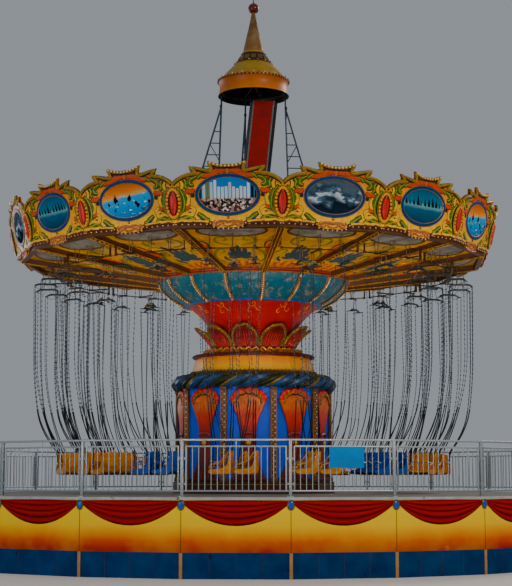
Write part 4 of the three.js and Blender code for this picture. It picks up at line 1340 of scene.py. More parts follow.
@dataclass
class Column:
    """The ornate ten-sided column.

    Attributes:
        face: distance of a flat side of the drum from the axis.
        corner: distance of the drum's corners.
        ring: middle of the garland, from the axis.
        ring_height: height of the garland's middle.
    """

    face: float = 1.6742
    corner: float = 1.7604
    ring: float = 1.79
    ring_height: float = 3.965

    def build(self) -> None:
        """Builds the pieces of the column."""
        wear("plinth", PLINTH_RED)
        wear("drum", DRUM_BLUE)
        wear("upper_band", BAND)
        wear("crown_plate", PLATE_RED)
        self.fans()
        self.pilasters()
        self.garland()
        self.mouldings()
        self.leaves()

    def fans(self) -> None:
        """Builds the ten shell fans, each on a fluted stem."""
        work = Work()
        for k in range(-3, 4):
            angle = k * 26 * DEG
            tip = Vector((0.345 * math.sin(angle), 3.525 + 0.235 * math.cos(angle), 0.046))
            path = smooth_path(
                [(0.046 * k, 2.78, 0.03), (0.056 * k, 3.06, 0.036), (0.082 * k, 3.32, 0.042), tip], 4)
            radii = [0.027 + 0.062 * (i / (len(path) - 1)) ** 1.2 for i in range(len(path))]
            work.tube(path, radii, 10, 0, 0.55)
            work.ball((tip.x, tip.y, 0.048), 0.09, 1, (1, 1, 0.55), fine=2)
            out = Vector((math.sin(angle), math.cos(angle), 0))
            across = Vector((math.cos(angle), -math.sin(angle), 0))
            brow = [
                tip + across * (0.086 * math.cos(t)) - out * (0.02 + 0.05 * math.sin(t))
                + Vector((0, 0, 0.036 + 0.02 * math.sin(t))) for t in [math.pi * j / 8 for j in range(9)]]
            work.tube(brow, 0.0115, 5, 2)
            work.tube([point + Vector((0, -0.02, 0.0)) - out * 0.008 for point in brow], 0.008, 5, 3)
        for k in range(-3, 3):
            angle = (k + 0.5) * 26 * DEG
            seam = smooth_path(
                [(0.046 * (k + 0.5), 2.82, 0.038), (0.056 * (k + 0.5), 3.06, 0.044),
                 (0.082 * (k + 0.5), 3.32, 0.05), (0.345 * math.sin(angle) * 0.86,
                                                   3.5 + 0.16 * math.cos(angle), 0.06)], 4)
            work.tube(seam, [0.004 + 0.006 * i / (len(seam) - 1) for i in range(len(seam))], 4, 3)
        for k in range(-3, 4):
            path = smooth_path(
                [(0.046 * k, 2.8, 0.03), (0.04 * k, 2.58, 0.03), (0.058 * k, 2.23, 0.036),
                 (0.078 * k, 2.0, 0.038), (0.112 * k, 1.79, 0.04)], 4)
            work.tube(path, [0.026 + 0.026 * (i / (len(path) - 1)) ** 1.5 for i in range(len(path))], 8, 0,
                      0.6)
        collar = [
            (0.172 * math.sin(a), 2.745 + 0.062 * math.cos(a), 0.058 + 0.012 * math.cos(a))
            for a in [(-80 + 16 * j) * DEG for j in range(11)]]
        work.tube(collar, 0.024, 7, 5)
        work.tube([(x, 2.665 - 0.5 * abs(x) ** 1.5, 0.06) for x in (-0.15, -0.08, 0, 0.08, 0.15)], 0.02, 7, 5,
                  0.8)
        work.ball((0, 2.59, 0.068), 0.06, 4, (1, 1, 0.6), fine=2)
        work.block((0, 1.768, 0.04), (0.82, 0.085, 0.085), 6, soft=0.012)
        fan = work.pattern("fan")
        whole = Work()
        whole.stamp(fan, [facing(side, self.face) for side in COLUMN_SIDES])
        whole.piece("shell_fans", "base", [FAN, FAN_CAP, GILT, SHADOW_LINE, FAN_BALL, FAN_PINK, PLINTH_RED],
                    ["fans_and_pilasters"])

    def pilasters(self) -> None:
        """Builds the corner posts, with a zigzag of small lamps up each."""
        work = Work()
        work.block((0, 2.78, 0.03), (0.135, 2.1, 0.07), 0, soft=0.008)
        for x in (-0.062, 0.062):
            work.rod((x, 1.74, 0.062), (x, 3.82, 0.062), 0.007, 6, 1)
        work.block((0, 1.775, 0.042), (0.16, 0.1, 0.09), 0, soft=0.008)
        work.block((0, 3.8, 0.042), (0.16, 0.06, 0.09), 0, soft=0.008)
        for i in range(31):
            x = 0.026 if i % 2 else -0.026
            work.ball((x, 1.87 + 0.062 * i, 0.07), 0.019, 2 if i % 2 else 3)
        post = work.pattern("pilaster")
        whole = Work()
        whole.stamp(post, [facing(edge, self.corner) for edge in COLUMN_EDGES])
        whole.piece("lamp_pilasters", "base", [POST_BROWN, GILT, LAMP_CREAM, LAMP_ORANGE])

    def garland(self) -> None:
        """Builds the garland of twisted strands round the drum's head, with its leafy hood."""
        work = Work()
        strands = ((0, 0.088), (1, 0.064), (0, 0.084), (2, 0.046), (3, 0.066), (1, 0.056))
        twists, steps = 11, 220
        for s, (finish, thick) in enumerate(strands):
            path = []
            for i in range(steps):
                bearing = TURN * i / steps
                angle = twists * bearing + TURN * s / len(strands)
                path.append(
                    on_ring(self.ring + 0.075 * math.cos(angle), bearing,
                            self.ring_height + 0.084 * math.sin(angle)))
            work.tube(path, thick, 7, finish, closed=True)
        leaf = Work()
        leaf.ball((0, 0, 0), 0.04, 0, (0.55, 0.9, 1.25))
        mesh = leaf.pattern("garland_leaf")
        for i in range(300):
            bearing = TURN * i / 300
            lift = 0.022 * math.sin(i * 2.4) + 0.012 * math.sin(i * 5.1)
            place = (
                turn(bearing) @ Matrix.Translation((0, -1.765 - 0.03 * math.sin(i * 1.7), 4.105 + lift))
                @ Matrix.Rotation(math.sin(i * 3.3) * 0.9, 4, "Y")
                @ Matrix.Rotation(0.5 * math.sin(i * 4.7), 4, "X"))
            # Some leaves take the hood's near-black painted shade.
            for face in mesh.polygons:
                face.material_index = (1, 4, 4, 1, 3, 2, 4, 0)[i % 8]
            work.stamp(mesh, [place])
        bpy.data.meshes.remove(mesh)
        # The leafy hood, in near-black paint as painted shade under the band.
        work.lathe(
            [(1.4, 4.081), (1.8, 4.081), (1.815, 4.1), (1.79, 4.135), (1.66, 4.18), (1.49, 4.222),
             (1.4, 4.222)], 80, 4)
        work.piece("garland", "base", [ROPE_BLUE, ROPE_DARK, ROPE_GOLD, LEAF_DARK, HOOD], ["valance"])

    def mouldings(self) -> None:
        """Builds the thin line on the plinth, the pearl edge of the band and the ruffle of the plate."""
        work = Work()
        for height, thick, finish in ((1.665, 0.01, 0), (1.5, 0.012, 1), (1.712, 0.008, 1)):
            work.lathe(oblong(1.87, 1.888, height - thick, height + thick), 10, finish, COLUMN_CORNER)
        for bearing in around(96):
            work.ball(on_ring(1.472, bearing, 4.24), 0.017, 2)
        ruffle = []
        for i in range(240):
            bearing = TURN * i / 240
            ruffle.append(
                on_ring(1.405 + 0.012 * math.sin(bearing * 60), bearing,
                        4.612 + 0.008 * math.cos(bearing * 60)))
        work.tube(ruffle, 0.028, 6, 3, closed=True)
        work.piece("column_mouldings", "base", [OLIVE, SEAM, SHADOW_LINE, PLATE_RED])

    def leaves(self) -> None:
        """Builds the ten leaves that open outward, and the band of scrolls at their feet."""
        work = Work()

        def blade(u: float, v: float) -> Point:
            """Gives a point of a leaf for shares across it and up it.

            Args:
                u: share across.
                v: share up.

            Returns:
                The point.
            """
            side = 2 * u - 1
            half = 0.155 + 0.135 * math.sin(math.pi * min(1.0, 0.1 + 0.8 * v) ** 0.9)
            if v > 0.62:
                half *= math.sqrt(max(0.0, 1 - ((v - 0.62) / 0.4) ** 2.4))
            out = 0.905 + 0.17 * v + 0.3 * v ** 2.2
            cup = -0.055 * side * side + 0.016 * math.cos(7 * math.pi * side / 2) * (1 - v)
            return (half * side, -(out + cup * 0.5), 4.68 + 0.575 * v + 0.02 * side * side)

        work.sheet(14, 14, blade, 0, thick=0.016)
        rim = []
        for i in range(41):
            t = i / 40
            side = -1 if t < 0.5 else 1
            v = min(1.0, 2 * t if t < 0.5 else 2 - 2 * t)
            rim.append(Vector(blade(0.5 + 0.5 * side, v)) + Vector((0, -0.012, 0.004)))
        work.tube(rim[4:37], 0.034, 8, 1)
        for i in range(4, 37):
            work.ball(rim[i] + Vector((0, -0.022, 0.006)), 0.026, 2 if i % 2 else 1)
            if i % 2:
                work.ball(rim[i].lerp(rim[i + 1], 0.5) + Vector((0, -0.034, 0.002)), 0.014, 3)
        for k in (-3, -2, -1, 0, 1, 2, 3):
            path = [
                Vector(blade(0.5 + 0.115 * k * (0.55 + 0.6 * v), v)) + Vector((0, -0.016, 0))
                for v in (0.1, 0.32, 0.55, 0.78)]
            work.tube(smooth_path(path, 3), [0.014] * 5 + [0.012] * 3 + [0.005] * 2, 6, 4 if k % 2 else 6,
                      0.8)
        leaf = work.pattern("leaf")
        whole = Work()
        bearings = [(-10.8 + 36 * i) * DEG for i in range(10)]
        whole.stamp(leaf, [turn(bearing) for bearing in bearings])
        whole.lathe([(0.84, 4.651), (1.06, 4.651), (1.05, 4.72), (0.97, 4.8), (0.84, 4.8)], 60, 3)
        scroll = Work()
        for side in (-1, 1):
            for start in (0.0, 0.17):
                curl = [
                    (start, 4.675), (start + 0.055, 4.745), (start + 0.115, 4.765), (start + 0.155, 4.725),
                    (start + 0.135, 4.685), (start + 0.1, 4.695), (start + 0.105, 4.722)]
                points = [Vector((side * x, -(1.125 - 0.42 * x * x), z)) for x, z in curl]
                path = smooth_path(points, 3)
                scroll.tube(path, [0.027 - 0.012 * i / len(path) for i in range(len(path))], 7, 5)
        scroll.ball((0, -1.14, 4.715), 0.046, 2, fine=2)
        scroll.ball((0.335, -1.075, 4.7), 0.034, 1, fine=2)
        scroll.tube([(x, -(1.1 - 0.42 * x * x), 4.668) for x in (-0.33, -0.2, -0.1, 0, 0.1, 0.2, 0.33)], 0.02,
                    7, 5)
        knot = scroll.pattern("scroll")
        whole.stamp(knot, [turn(bearing) for bearing in bearings])
        whole.piece(
            "leaf_crown_dressed", "base", [LEAF_RED, LEAF_GOLD, GILT, SHADOW_LINE, FAN_CAP, SCROLL, FAN_PINK],
            ["leaf_crown"])


@dataclass
class MastGear:
    """The leaning mast with its rails, and the gear that lifts and tilts the canopy.

    Attributes:
        bend: height where the mast starts to lean.
        top: height of its top.
        lean: its lean, in degrees.
    """

    bend: float = 8.4
    top: float = 10.77
    lean: float = 6.0

    def build(self) -> None:
        """Dresses the mast and its gear."""
        wear("mast", MAST_RED)
        wear("left_mast_rail", RAIL_GREY)
        wear("right_mast_rail", RAIL_BLACK)
        wear("carriage", MACHINE)
        wear("tilt_ring", MACHINE)
        self.edges()

    def edges(self) -> None:
        """Builds the pale strips along the mast's corners, and their rivets."""
        work = Work()
        shift = (self.top - self.bend) * math.tan(self.lean * DEG)
        for x in (-0.243, 0.243):
            for y in (-0.212, 0.212):
                work.tube([(x, y, 1.75), (x, y, self.bend), (x + shift, y, self.top - 0.002)], 0.016, 4, 0)
        for i in range(14):
            height = self.bend + 0.15 + 0.16 * i
            x = (height - self.bend) * math.tan(self.lean * DEG)
            for side in (-1, 1):
                work.ball((x + side * 0.222, -0.2125, height), 0.009, 1, (1, 0.5, 1))
        work.piece("mast_edges", "mast", [MAST_EDGE, MACHINE])


@dataclass
class Canopy:
    """The turning canopy: ribs, painted ceiling, rounding boards, bowl and cone.

    Attributes:
        band: corner radius of the band round the bowl.
        band_height: height of the ceiling's underside at the band.
        rim: corner radius of the rim.
        rim_height: height of the ceiling's underside at the rim.
        foot: corner radius of the boards at their foot.
        foot_height: height of the boards' foot.
        lean: how far the boards lean out, in degrees.
        views: the pictures in the ovals, in turn.
        deep: how deep the ribs and hoops are under the ceiling.
    """

    band: float = 2.3
    band_height: float = 6.475
    rim: float = 5.4588
    rim_height: float = 6.925
    foot: float = 5.53
    foot_height: float = 6.87
    lean: float = 12.9
    views: tuple[View, ...] = (View.POSTS, View.SURF, View.EVENING, View.SUNSET)
    deep: float = 0.12

    def build(self) -> None:
        """Builds the pieces of the canopy."""
        wear("ceiling", CEILING)
        wear("roof", ROOF)
        self.ceiling_ornament()
        self.ribs()
        self.bowl()
        self.cone()
        self.boards()
        self.roof_battens()

    def under(self, bearing: float) -> Matrix:
        """Places a flat pattern under the sloping ceiling: X sideways, Y outward up the slope, Z downward.

        Args:
            bearing: the middle of the bay.

        Returns:
            The matrix.
        """
        flat = math.cos(BAY / 2)
        rise = (self.rim_height - self.band_height) / ((self.rim - self.band) * flat)
        height = self.band_height - self.band * flat * rise
        return turn(bearing) @ Matrix.Translation((0, 0, height)) @ Matrix.Rotation(
            math.pi - math.atan(rise), 4, "X")

    def ceiling_ornament(self) -> None:
        """Builds the painted ornament of each bay of the ceiling in low relief."""
        work = Work()
        work.plate(ellipse(0.7, 0.36, 40, (0, 4.84)), 0.006, 0, 0.0)
        work.tube(raised(ellipse(0.72, 0.38, 40, (0, 4.84)), 0.006), 0.036, 6, 1, 0.4, closed=True)
        for k in range(7):
            angle = (k - 3) * 27 * DEG
            reach = (0.55, 0.68, 0.82, 0.92, 0.82, 0.68, 0.55)[k]
            tip = Vector((0.4 * reach * math.sin(angle), 2.92 + reach * math.cos(angle), 0.006))
            root = Vector((0.024 * (k - 3), 2.88, 0.006))
            side = root.lerp(tip, 0.55) + Vector((0.05 * math.sin(angle), 0, 0))
            work.tube(smooth_path([root, side, tip], 3), [0.028, 0.05, 0.06, 0.064, 0.06, 0.046, 0.018], 6, 2,
                      0.25)
        work.ball((0, 2.84, 0.004), 0.085, 3, (1, 1.5, 0.3))
        half = Work()
        strokes = (
            (4, 0.036, ((0.1, 3.86), (0.28, 3.92), (0.42, 4.08), (0.4, 4.34), (0.24, 4.4), (0.18, 4.24),
                        (0.26, 4.14))),
            (4, 0.036, ((0.38, 2.62), (0.52, 2.86), (0.54, 3.2), (0.46, 3.48), (0.34, 3.56), (0.3, 3.4),
                        (0.37, 3.28))),
            (4, 0.028, ((0.04, 4.42), (0.2, 4.5), (0.4, 4.52))),
            (3, 0.044, ((0.44, 3.6), (0.54, 3.82), (0.52, 4.08))),
            (3, 0.046, ((0.66, 4.2), (0.76, 4.42), (0.9, 4.6), (0.9, 4.86))),
            (2, 0.04, ((0.22, 2.7), (0.32, 2.86), (0.34, 3.04))),
            (3, 0.036, ((0.08, 2.56), (0.24, 2.64), (0.38, 2.56))),
            (5, 0.05, ((0.06, 2.34), (0.1, 2.52), (0.06, 2.7))),
            (5, 0.05, ((0.22, 2.34), (0.27, 2.5), (0.22, 2.66))),
            (5, 0.06, ((0.6, 3.3), (0.64, 3.62), (0.74, 3.94))),
            (5, 0.046, ((0.54, 2.76), (0.56, 2.96), (0.6, 3.2))),
            (1, 0.024, ((0.58, 3.7), (0.62, 3.96), (0.72, 4.14), (0.78, 4.04))),
        )
        for finish, wide, points in strokes:
            path = smooth_path(raised(points, 0.005), 3)
            widths = [wide * share for share in swell(len(path), 0.35, 0.15, 1.0)]
            half.tube(path, widths, 6, finish, 0.3)
        half.mirror()
        work.stamp(half.pattern("ceiling_strokes"), [Matrix.Identity(4)])
        bay = work.pattern("ceiling_bay")
        whole = Work()
        whole.stamp(bay, [self.under(middle) for middle in BAYS])
        whole.piece(
            "ceiling_ornament", "canopy", [CEILING_OVAL, OVAL_RIM, PALMETTE, LEAF_YELLOW, CURL, FLAME])

    def bowl(self) -> None:
        """Builds the teal bowl with its sixteen ribs of lamps and its blue ring."""
        line = smooth_path([(1.59, 0, 5.8015), (1.87, 0, 5.95), (2.11, 0, 6.15), (2.215, 0, 6.3535)], 6)
        outside = section(line)
        inside = [(point.x - 0.035, point.z) for point in reversed(line[3:])] + [(1.5, 5.8015)]
        work = Work()
        work.lathe([*outside, *inside], 96, 0, FIRST_SWEEP)
        work.tube([on_ring(1.612, bearing, 5.835) for bearing in around(96, FIRST_SWEEP)], 0.04, 8, 1, 0.85,
                  closed=True)
        rib = Work()
        path = [Vector((0, -point.x - 0.004, point.z - 0.004)) for point in line[1:]]
        rib.tube(path, 0.052, 8, 5, 0.35, (0, -1, 0))
        rib.tube([point + Vector((0, -0.012, -0.008)) for point in path], 0.036, 8, 2, 0.6, (0, -1, 0))
        for side in (-1, 1):
            rib.tube([point + Vector((side * 0.038, -0.014, -0.008)) for point in path], 0.006, 5, 3)
        for i in range(15):
            t = (i + 0.5) / 15 * (len(path) - 1)
            k = int(t)
            point = path[k].lerp(path[k + 1], t - k)
            rib.ball(point + Vector((0, -0.034, -0.024)), 0.0185, 4)
        work.stamp(rib.pattern("bowl_rib"), [turn(sweep) for sweep in SWEEPS])
        work.piece("teal_bowl", "canopy", [BOWL, RING_BLUE, BOWL_RIB, GILT, LAMP_CREAM, BOWL_EDGE], ["bowl"])

    def cone(self) -> None:
        """Builds the red cone with fine gold curls under its rim."""
        line = smooth_path(
            [(0.76, 0, 4.76), (0.86, 0, 5.0), (0.985, 0, 5.22), (1.22, 0, 5.53), (1.512, 0, 5.8)], 5)
        outside = section(line)
        inside = [(point.x - 0.03, point.z) for point in reversed(line)]
        work = Work()
        work.lathe([*outside, *inside], 96, 0, FIRST_SWEEP)

        def on_cone(bearing: float, height: float) -> Vector:
            """A point on the cone's skin at a bearing and height.

            Args:
                bearing: where it lies round the cone, in radians.
                height: its height.

            Returns:
                The point.
            """
            for a, b in zip(line, line[1:]):
                if a.z <= height <= b.z:
                    share = (height - a.z) / (b.z - a.z)
                    return on_ring(a.x + (b.x - a.x) * share + 0.003, bearing, height)
            return on_ring(line[-1].x, bearing, height)

        curls = (
            ((-0.12, 5.74), (-0.06, 5.68), (0.02, 5.7), (0.04, 5.75), (0.0, 5.77), (-0.02, 5.73)),
            ((0.02, 5.7), (0.08, 5.62), (0.15, 5.6), (0.17, 5.65), (0.13, 5.67)),
            ((-0.1, 5.66), (-0.14, 5.6), (-0.1, 5.56), (-0.05, 5.585)),
        )
        for i in range(12):
            middle = TURN * i / 12
            for curl in curls:
                points = [on_cone(middle + across / 1.4, height) for across, height in curl]
                work.tube(smooth_path(points, 3), 0.0065, 4, 1)
        work.piece("red_cone", "canopy", [CONE, CONE_LINE], ["cone"])

    @staticmethod
    def half_outline() -> list[Point]:
        """The right half of a board's outline, from its foot's middle round to its head's."""
        return [
            (0, -0.078), (0.12, -0.082), (0.22, -0.072), (0.285, -0.048), (0.33, -0.022), (0.385, -0.03),
            (0.42, -0.004),
            (0.5, 0.012), (0.62, 0.02), (0.74, 0.014), (0.86, 0.022), (0.98, 0.01), (1.0785, 0.0),
            (1.1145, 0.831), (1.075, 0.876), (1.03, 0.912), (0.93, 0.97), (0.82, 1.012), (0.72, 1.032),
            (0.73, 1.075), (0.775, 1.15),
            (0.66, 1.137), (0.52, 1.112), (0.42, 1.092), (0.35, 1.1), (0.35, 1.16), (0.388, 1.255),
            (0.32, 1.222), (0.22, 1.19),
            (0.12, 1.178), (0, 1.176)]

    def board_half(self) -> Mesh:
        """Makes the relief of a board's right half, with its mirror image, as a pattern for a face.

        Returns:
            The pattern.
        """
        work = Work()
        mouldings = (
            ((1.085, 0.815), (1.04, 0.868), (0.96, 0.925), (0.85, 0.975), (0.74, 0.998), (0.655, 1.01),
             (0.675, 1.06), (0.745, 1.132)),
            ((0.765, 1.138), (0.66, 1.118), (0.54, 1.092), (0.43, 1.066), (0.345, 1.052), (0.325, 1.11),
             (0.345, 1.175), (0.38, 1.238)),
            ((0.38, 1.236), (0.29, 1.196), (0.2, 1.17), (0.1, 1.158), (0.0, 1.155)),
        )
        widths = ((0.03, 0.05), (0.024, 0.046), (0.03, 0.036))
        for points, (start, end) in zip(mouldings, widths):
            path = smooth_path(raised(points, 0.012), 4)
            last = len(path) - 1
            shares = swell(len(path), 0.55, 0.25, 0.85)
            radii = [(start + (end - start) * i / last) * share for i, share in enumerate(shares)]
            work.tube(path, radii, 8, 1, 0.75)
            shade = [point + Vector((0, -0.04, -0.008)) for point in path]
            work.tube(shade, [radius * 0.62 for radius in radii], 4, 2, 0.5)
            ridge = [point + Vector((0, radius * 0.1, radius * 0.66)) for point, radius in zip(path, radii)]
            work.tube(ridge, 0.0075, 5, 3)
        for i in range(5):
            x = 0.038 + 0.076 * i
            work.ball((x, 1.158 + 0.55 * x * x, 0.046), 0.0215, 4, (1, 1, 0.8))
        strokes = (
            (6, 0.05, ((1.035, 0.75), (0.93, 0.64), (0.875, 0.46), (0.9, 0.28), (1.02, 0.13))),
            (6, 0.038, ((1.0, 0.115), (0.9, 0.115), (0.8, 0.15), (0.72, 0.125), (0.65, 0.075))),
            (6, 0.04, ((0.61, 0.215), (0.53, 0.165), (0.45, 0.1), (0.36, 0.085))),
            (6, 0.046, ((0.6, 0.955), (0.7, 0.925), (0.77, 0.86), (0.74, 0.79), (0.67, 0.785))),
            (6, 0.036, ((0.885, 0.905), (0.84, 0.84), (0.855, 0.76), (0.8, 0.7))),
            (6, 0.03, ((0.46, 1.005), (0.55, 0.965), (0.6, 0.9))),
            (7, 0.036, ((0.985, 0.16), (0.86, 0.215), (0.77, 0.18), (0.7, 0.215), (0.735, 0.275),
                        (0.79, 0.265))),
            (7, 0.032, ((0.83, 0.6), (0.785, 0.52), (0.8, 0.42), (0.86, 0.385), (0.875, 0.44), (0.84, 0.46))),
            (7, 0.03, ((0.95, 0.86), (0.915, 0.8), (0.93, 0.72), (0.975, 0.7))),
            (7, 0.03, ((1.02, 0.05), (0.92, 0.085), (0.82, 0.055), (0.72, 0.078), (0.64, 0.052))),
            (7, 0.034, ((0.62, 0.055), (0.5, 0.06), (0.43, 0.04), (0.38, 0.052))),
            (7, 0.026, ((0.76, 0.345), (0.71, 0.33), (0.665, 0.285), (0.68, 0.235))),
            (8, 0.05, ((0.02, 1.055), (0.18, 1.05), (0.32, 1.01), (0.44, 0.965), (0.53, 0.945))),
            (8, 0.04, ((0.66, 0.7), (0.73, 0.65), (0.8, 0.66), (0.86, 0.62))),
            (8, 0.03, ((0.86, 0.33), (0.815, 0.32), (0.775, 0.345), (0.775, 0.4))),
            (8, 0.03, ((0.92, 0.96), (0.8, 0.935), (0.72, 0.955))),
            (5, 0.036, ((0.56, 0.105), (0.5, 0.085), (0.45, 0.055))),
            (2, 0.02, ((0.665, 0.6), (0.695, 0.577), (0.665, 0.553))),
            (2, 0.018, ((0.735, 0.61), (0.705, 0.577), (0.735, 0.545))),
            (9, 0.028, ((0.05, 1.115), (0.14, 1.105), (0.22, 1.12), (0.29, 1.15))),
            (9, 0.022, ((0.1, 1.075), (0.2, 1.078), (0.28, 1.075))),
        )
        for finish, wide, points in strokes:
            path = smooth_path(raised(points, 0.002), 3)
            radii = [1.12 * wide * share for share in swell(len(path), 0.25, 0.1, 0.96)]
            work.tube([point + Vector((0.004, -0.006, -0.001)) for point in path],
                      [radius + 0.014 for radius in radii], 4, 2, 0.12)
            work.tube(path, radii, 5, finish, 0.3)
            vein = [point + Vector((0, 0, radius * 0.27)) for point, radius in zip(path[1:-1], radii[1:-1])]
            if finish == 6 and len(vein) > 2:
                work.tube(vein, 0.0055, 4, 7)
        curl = smooth_path(
            [(0.0, 0.03, 0.008), (0.1, 0.05, 0.01), (0.2, 0.038, 0.012), (0.262, 0.0, 0.012),
             (0.225, -0.04, 0.012), (0.165, -0.03, 0.012), (0.16, 0.002, 0.014)], 4)
        last = len(curl) - 1
        work.tube(curl, [0.03 - 0.013 * i / last for i in range(last + 1)], 8, 10, 0.7)
        work.tube(
            smooth_path([(0.0, -0.052, 0.008), (0.07, -0.04, 0.012), (0.115, -0.012, 0.012),
                         (0.085, 0.012, 0.012)], 4), 0.017, 6, 10, 0.8)
        work.tube(smooth_path([(0.262, 0.01, 0.008), (0.285, 0.045, 0.008), (0.25, 0.075, 0.006)], 3),
                  [0.02, 0.018, 0.016, 0.014, 0.012, 0.01, 0.008], 6, 10, 0.7)
        work.ball((0.352, 0.012, 0.012), 0.047, 9, (1, 1, 0.6), fine=2)
        work.ball((0.352, 0.012, 0.036), 0.019, 11)
        hem = smooth_path(
            [(0.385, -0.018, 0.004), (0.42, 0.004, 0.004), (0.5, 0.02, 0.004), (0.6, 0.026, 0.004),
             (0.72, 0.018, 0.004), (0.84, 0.028, 0.004), (0.96, 0.02, 0.004), (1.07, 0.01, 0.004)], 3)
        work.tube(hem, 0.019, 6, 9, 0.8)
        work.mirror()
        for side in (-1, 1):
            for i in range(6):
                work.ball((side * (0.43 + 0.125 * i), -0.008, 0.022), 0.0165, 11)
            for x, y in ((0.29, -0.068), (0.2, -0.092), (0.1, -0.1)):
                work.ball((side * x, y, 0.01), 0.0185, 11)
        work.ball((0, -0.098, 0.01), 0.0185, 11)
        work.ball((0, 0.125, 0.006), 0.03, 9, (1, 1.2, 0.5))
        work.ball((0, 0.125, 0.018), 0.014, 11)
        return work.pattern("board_relief")

    def board(self, view: int) -> Mesh:
        """Makes a whole board as a pattern for a face, mapped in metres.

        Args:
            view: number of the picture in its oval.

        Returns:
            The pattern.
        """
        work = Work()
        half = self.half_outline()
        outline = [*half, *[(-x, y) for x, y in reversed(half[1:-1])]]
        work.plate(outline, 0.048, 0, -0.048)
        work.tube(raised(outline, -0.012), 0.013, 5, 2, closed=True)
        work.stamp(self.relief, [Matrix.Identity(4)])
        centre = (0, 0.577)
        picture = 14 + view
        work.plate(ellipse(0.598, 0.362, 56, centre), 0.01, picture, 0.0)
        rings = ((0.622, 0.386, 0.008, 0.034, 8, 5, 0.55), (0.59, 0.354, 0.012, 0.007, 5, 3, 1.0),
                 (0.66, 0.424, 0.004, 0.008, 5, 3, 1.0))
        for wide, high, rise, thick, sides, finish, flat in rings:
            ring = raised(ellipse(wide, high, 56, centre), rise)
            work.tube(ring, thick, sides, finish, flat, closed=True)
        work.flatten_map(lambda face: centre if face.material_index == picture else (0, 0))
        return work.pattern(f"board_{view}")

    def cartouche(self) -> Mesh:
        """Makes the red gem in its ring of beads that covers the joint of two boards.

        Returns:
            The pattern.
        """
        work = Work()
        work.plate(ellipse(0.182, 0.335, 40), 0.07, 2, -0.052, soft=0.012)
        work.tube(raised(ellipse(0.17, 0.322, 40), 0.018), 0.013, 7, 1, closed=True)
        for i in range(22):
            angle = TURN * i / 22
            work.ball((0.134 * math.cos(angle), 0.282 * math.sin(angle), 0.022), 0.037, 13, (0.85, 1.0, 0.6))
        gem = Work()
        gem.ball((0, 0, 0.03), 0.255, 12, (0.3, 1.0, 0.12), fine=3)
        for vert in gem.bm.verts:
            vert.co.x *= max(0.12, 1 - (abs(vert.co.y) / 0.3) ** 3)
        work.stamp(gem.pattern("gem"), [Matrix.Identity(4)])
        work.rod((0, -0.225, 0.058), (0, 0.225, 0.058), 0.0045, 5, 2)
        work.tube(raised(ellipse(0.094, 0.264, 32), 0.026), 0.0085, 5, 9, closed=True)
        work.flatten_map(lambda face: (0, 0))
        return work.pattern("cartouche")

    def boards(self) -> None:
        """Builds the sixteen rounding boards in four quarters, with the gems over their joints."""
        self.relief = self.board_half()
        plain = [BOARD, MOULDING, SHADOW_LINE, GILT, LAMP_CREAM, OVAL_BLUE, LEAF_GREEN, LEAF_YELLOW,
                 LEAF_ORANGE, BORDER_BROWN, SCROLL_PINK, LAMP_PINK, GEM, BEAD_ORANGE]
        pictures = [Picture(view) for view in self.views]
        patterns = [self.board(i) for i in range(len(pictures))]
        gem = self.cartouche()
        flat = self.foot * math.cos(BAY / 2)
        lean = self.lean * DEG
        corner_lean = math.atan(math.tan(lean) / math.cos(BAY / 2))
        lowered = Matrix.Translation((0, 0.418, 0))
        for quarter, name in enumerate(("front", "right", "back", "left")):
            work = Work()
            for i in range(4 * quarter, 4 * quarter + 4):
                middle, corner = BAYS[i], SWEEPS[i]
                work.stamp(patterns[(i + 3) % 4], [facing(middle, flat, self.foot_height, lean)])
                work.stamp(gem, [facing(corner, self.foot, self.foot_height, corner_lean) @ lowered])
            work.piece(f"{name}_boards", "canopy", [*plain, *pictures], [f"{name}_rounding_boards"])

    def roof_battens(self) -> None:
        """Builds the battens over the roof's seams and the stays behind the boards."""
        work = Work()
        for i in range(16):
            place = turn(SWEEPS[i])
            path = [place @ Vector((0, -1.62, 8.333)), place @ Vector((0, -5.4, 6.998))]
            work.tube(path, 0.026, 6, 0, 0.6)
            for side in (-1, 1):
                stay = turn(BAYS[i])
                foot = stay @ Vector((side * 0.55, -4.75, 7.2))
                head = stay @ Vector((side * 0.55, -5.585, 7.78))
                work.rod(foot, head, 0.016, 6, 1)
                work.ball(foot, 0.03, 1)
        work.lathe([(1.55, 8.325), (1.64, 8.322), (1.64, 8.345), (1.55, 8.348)], 16, 0, FIRST_SWEEP)
        work.piece("roof_battens", "canopy", [RIB, LEG_BLUE])

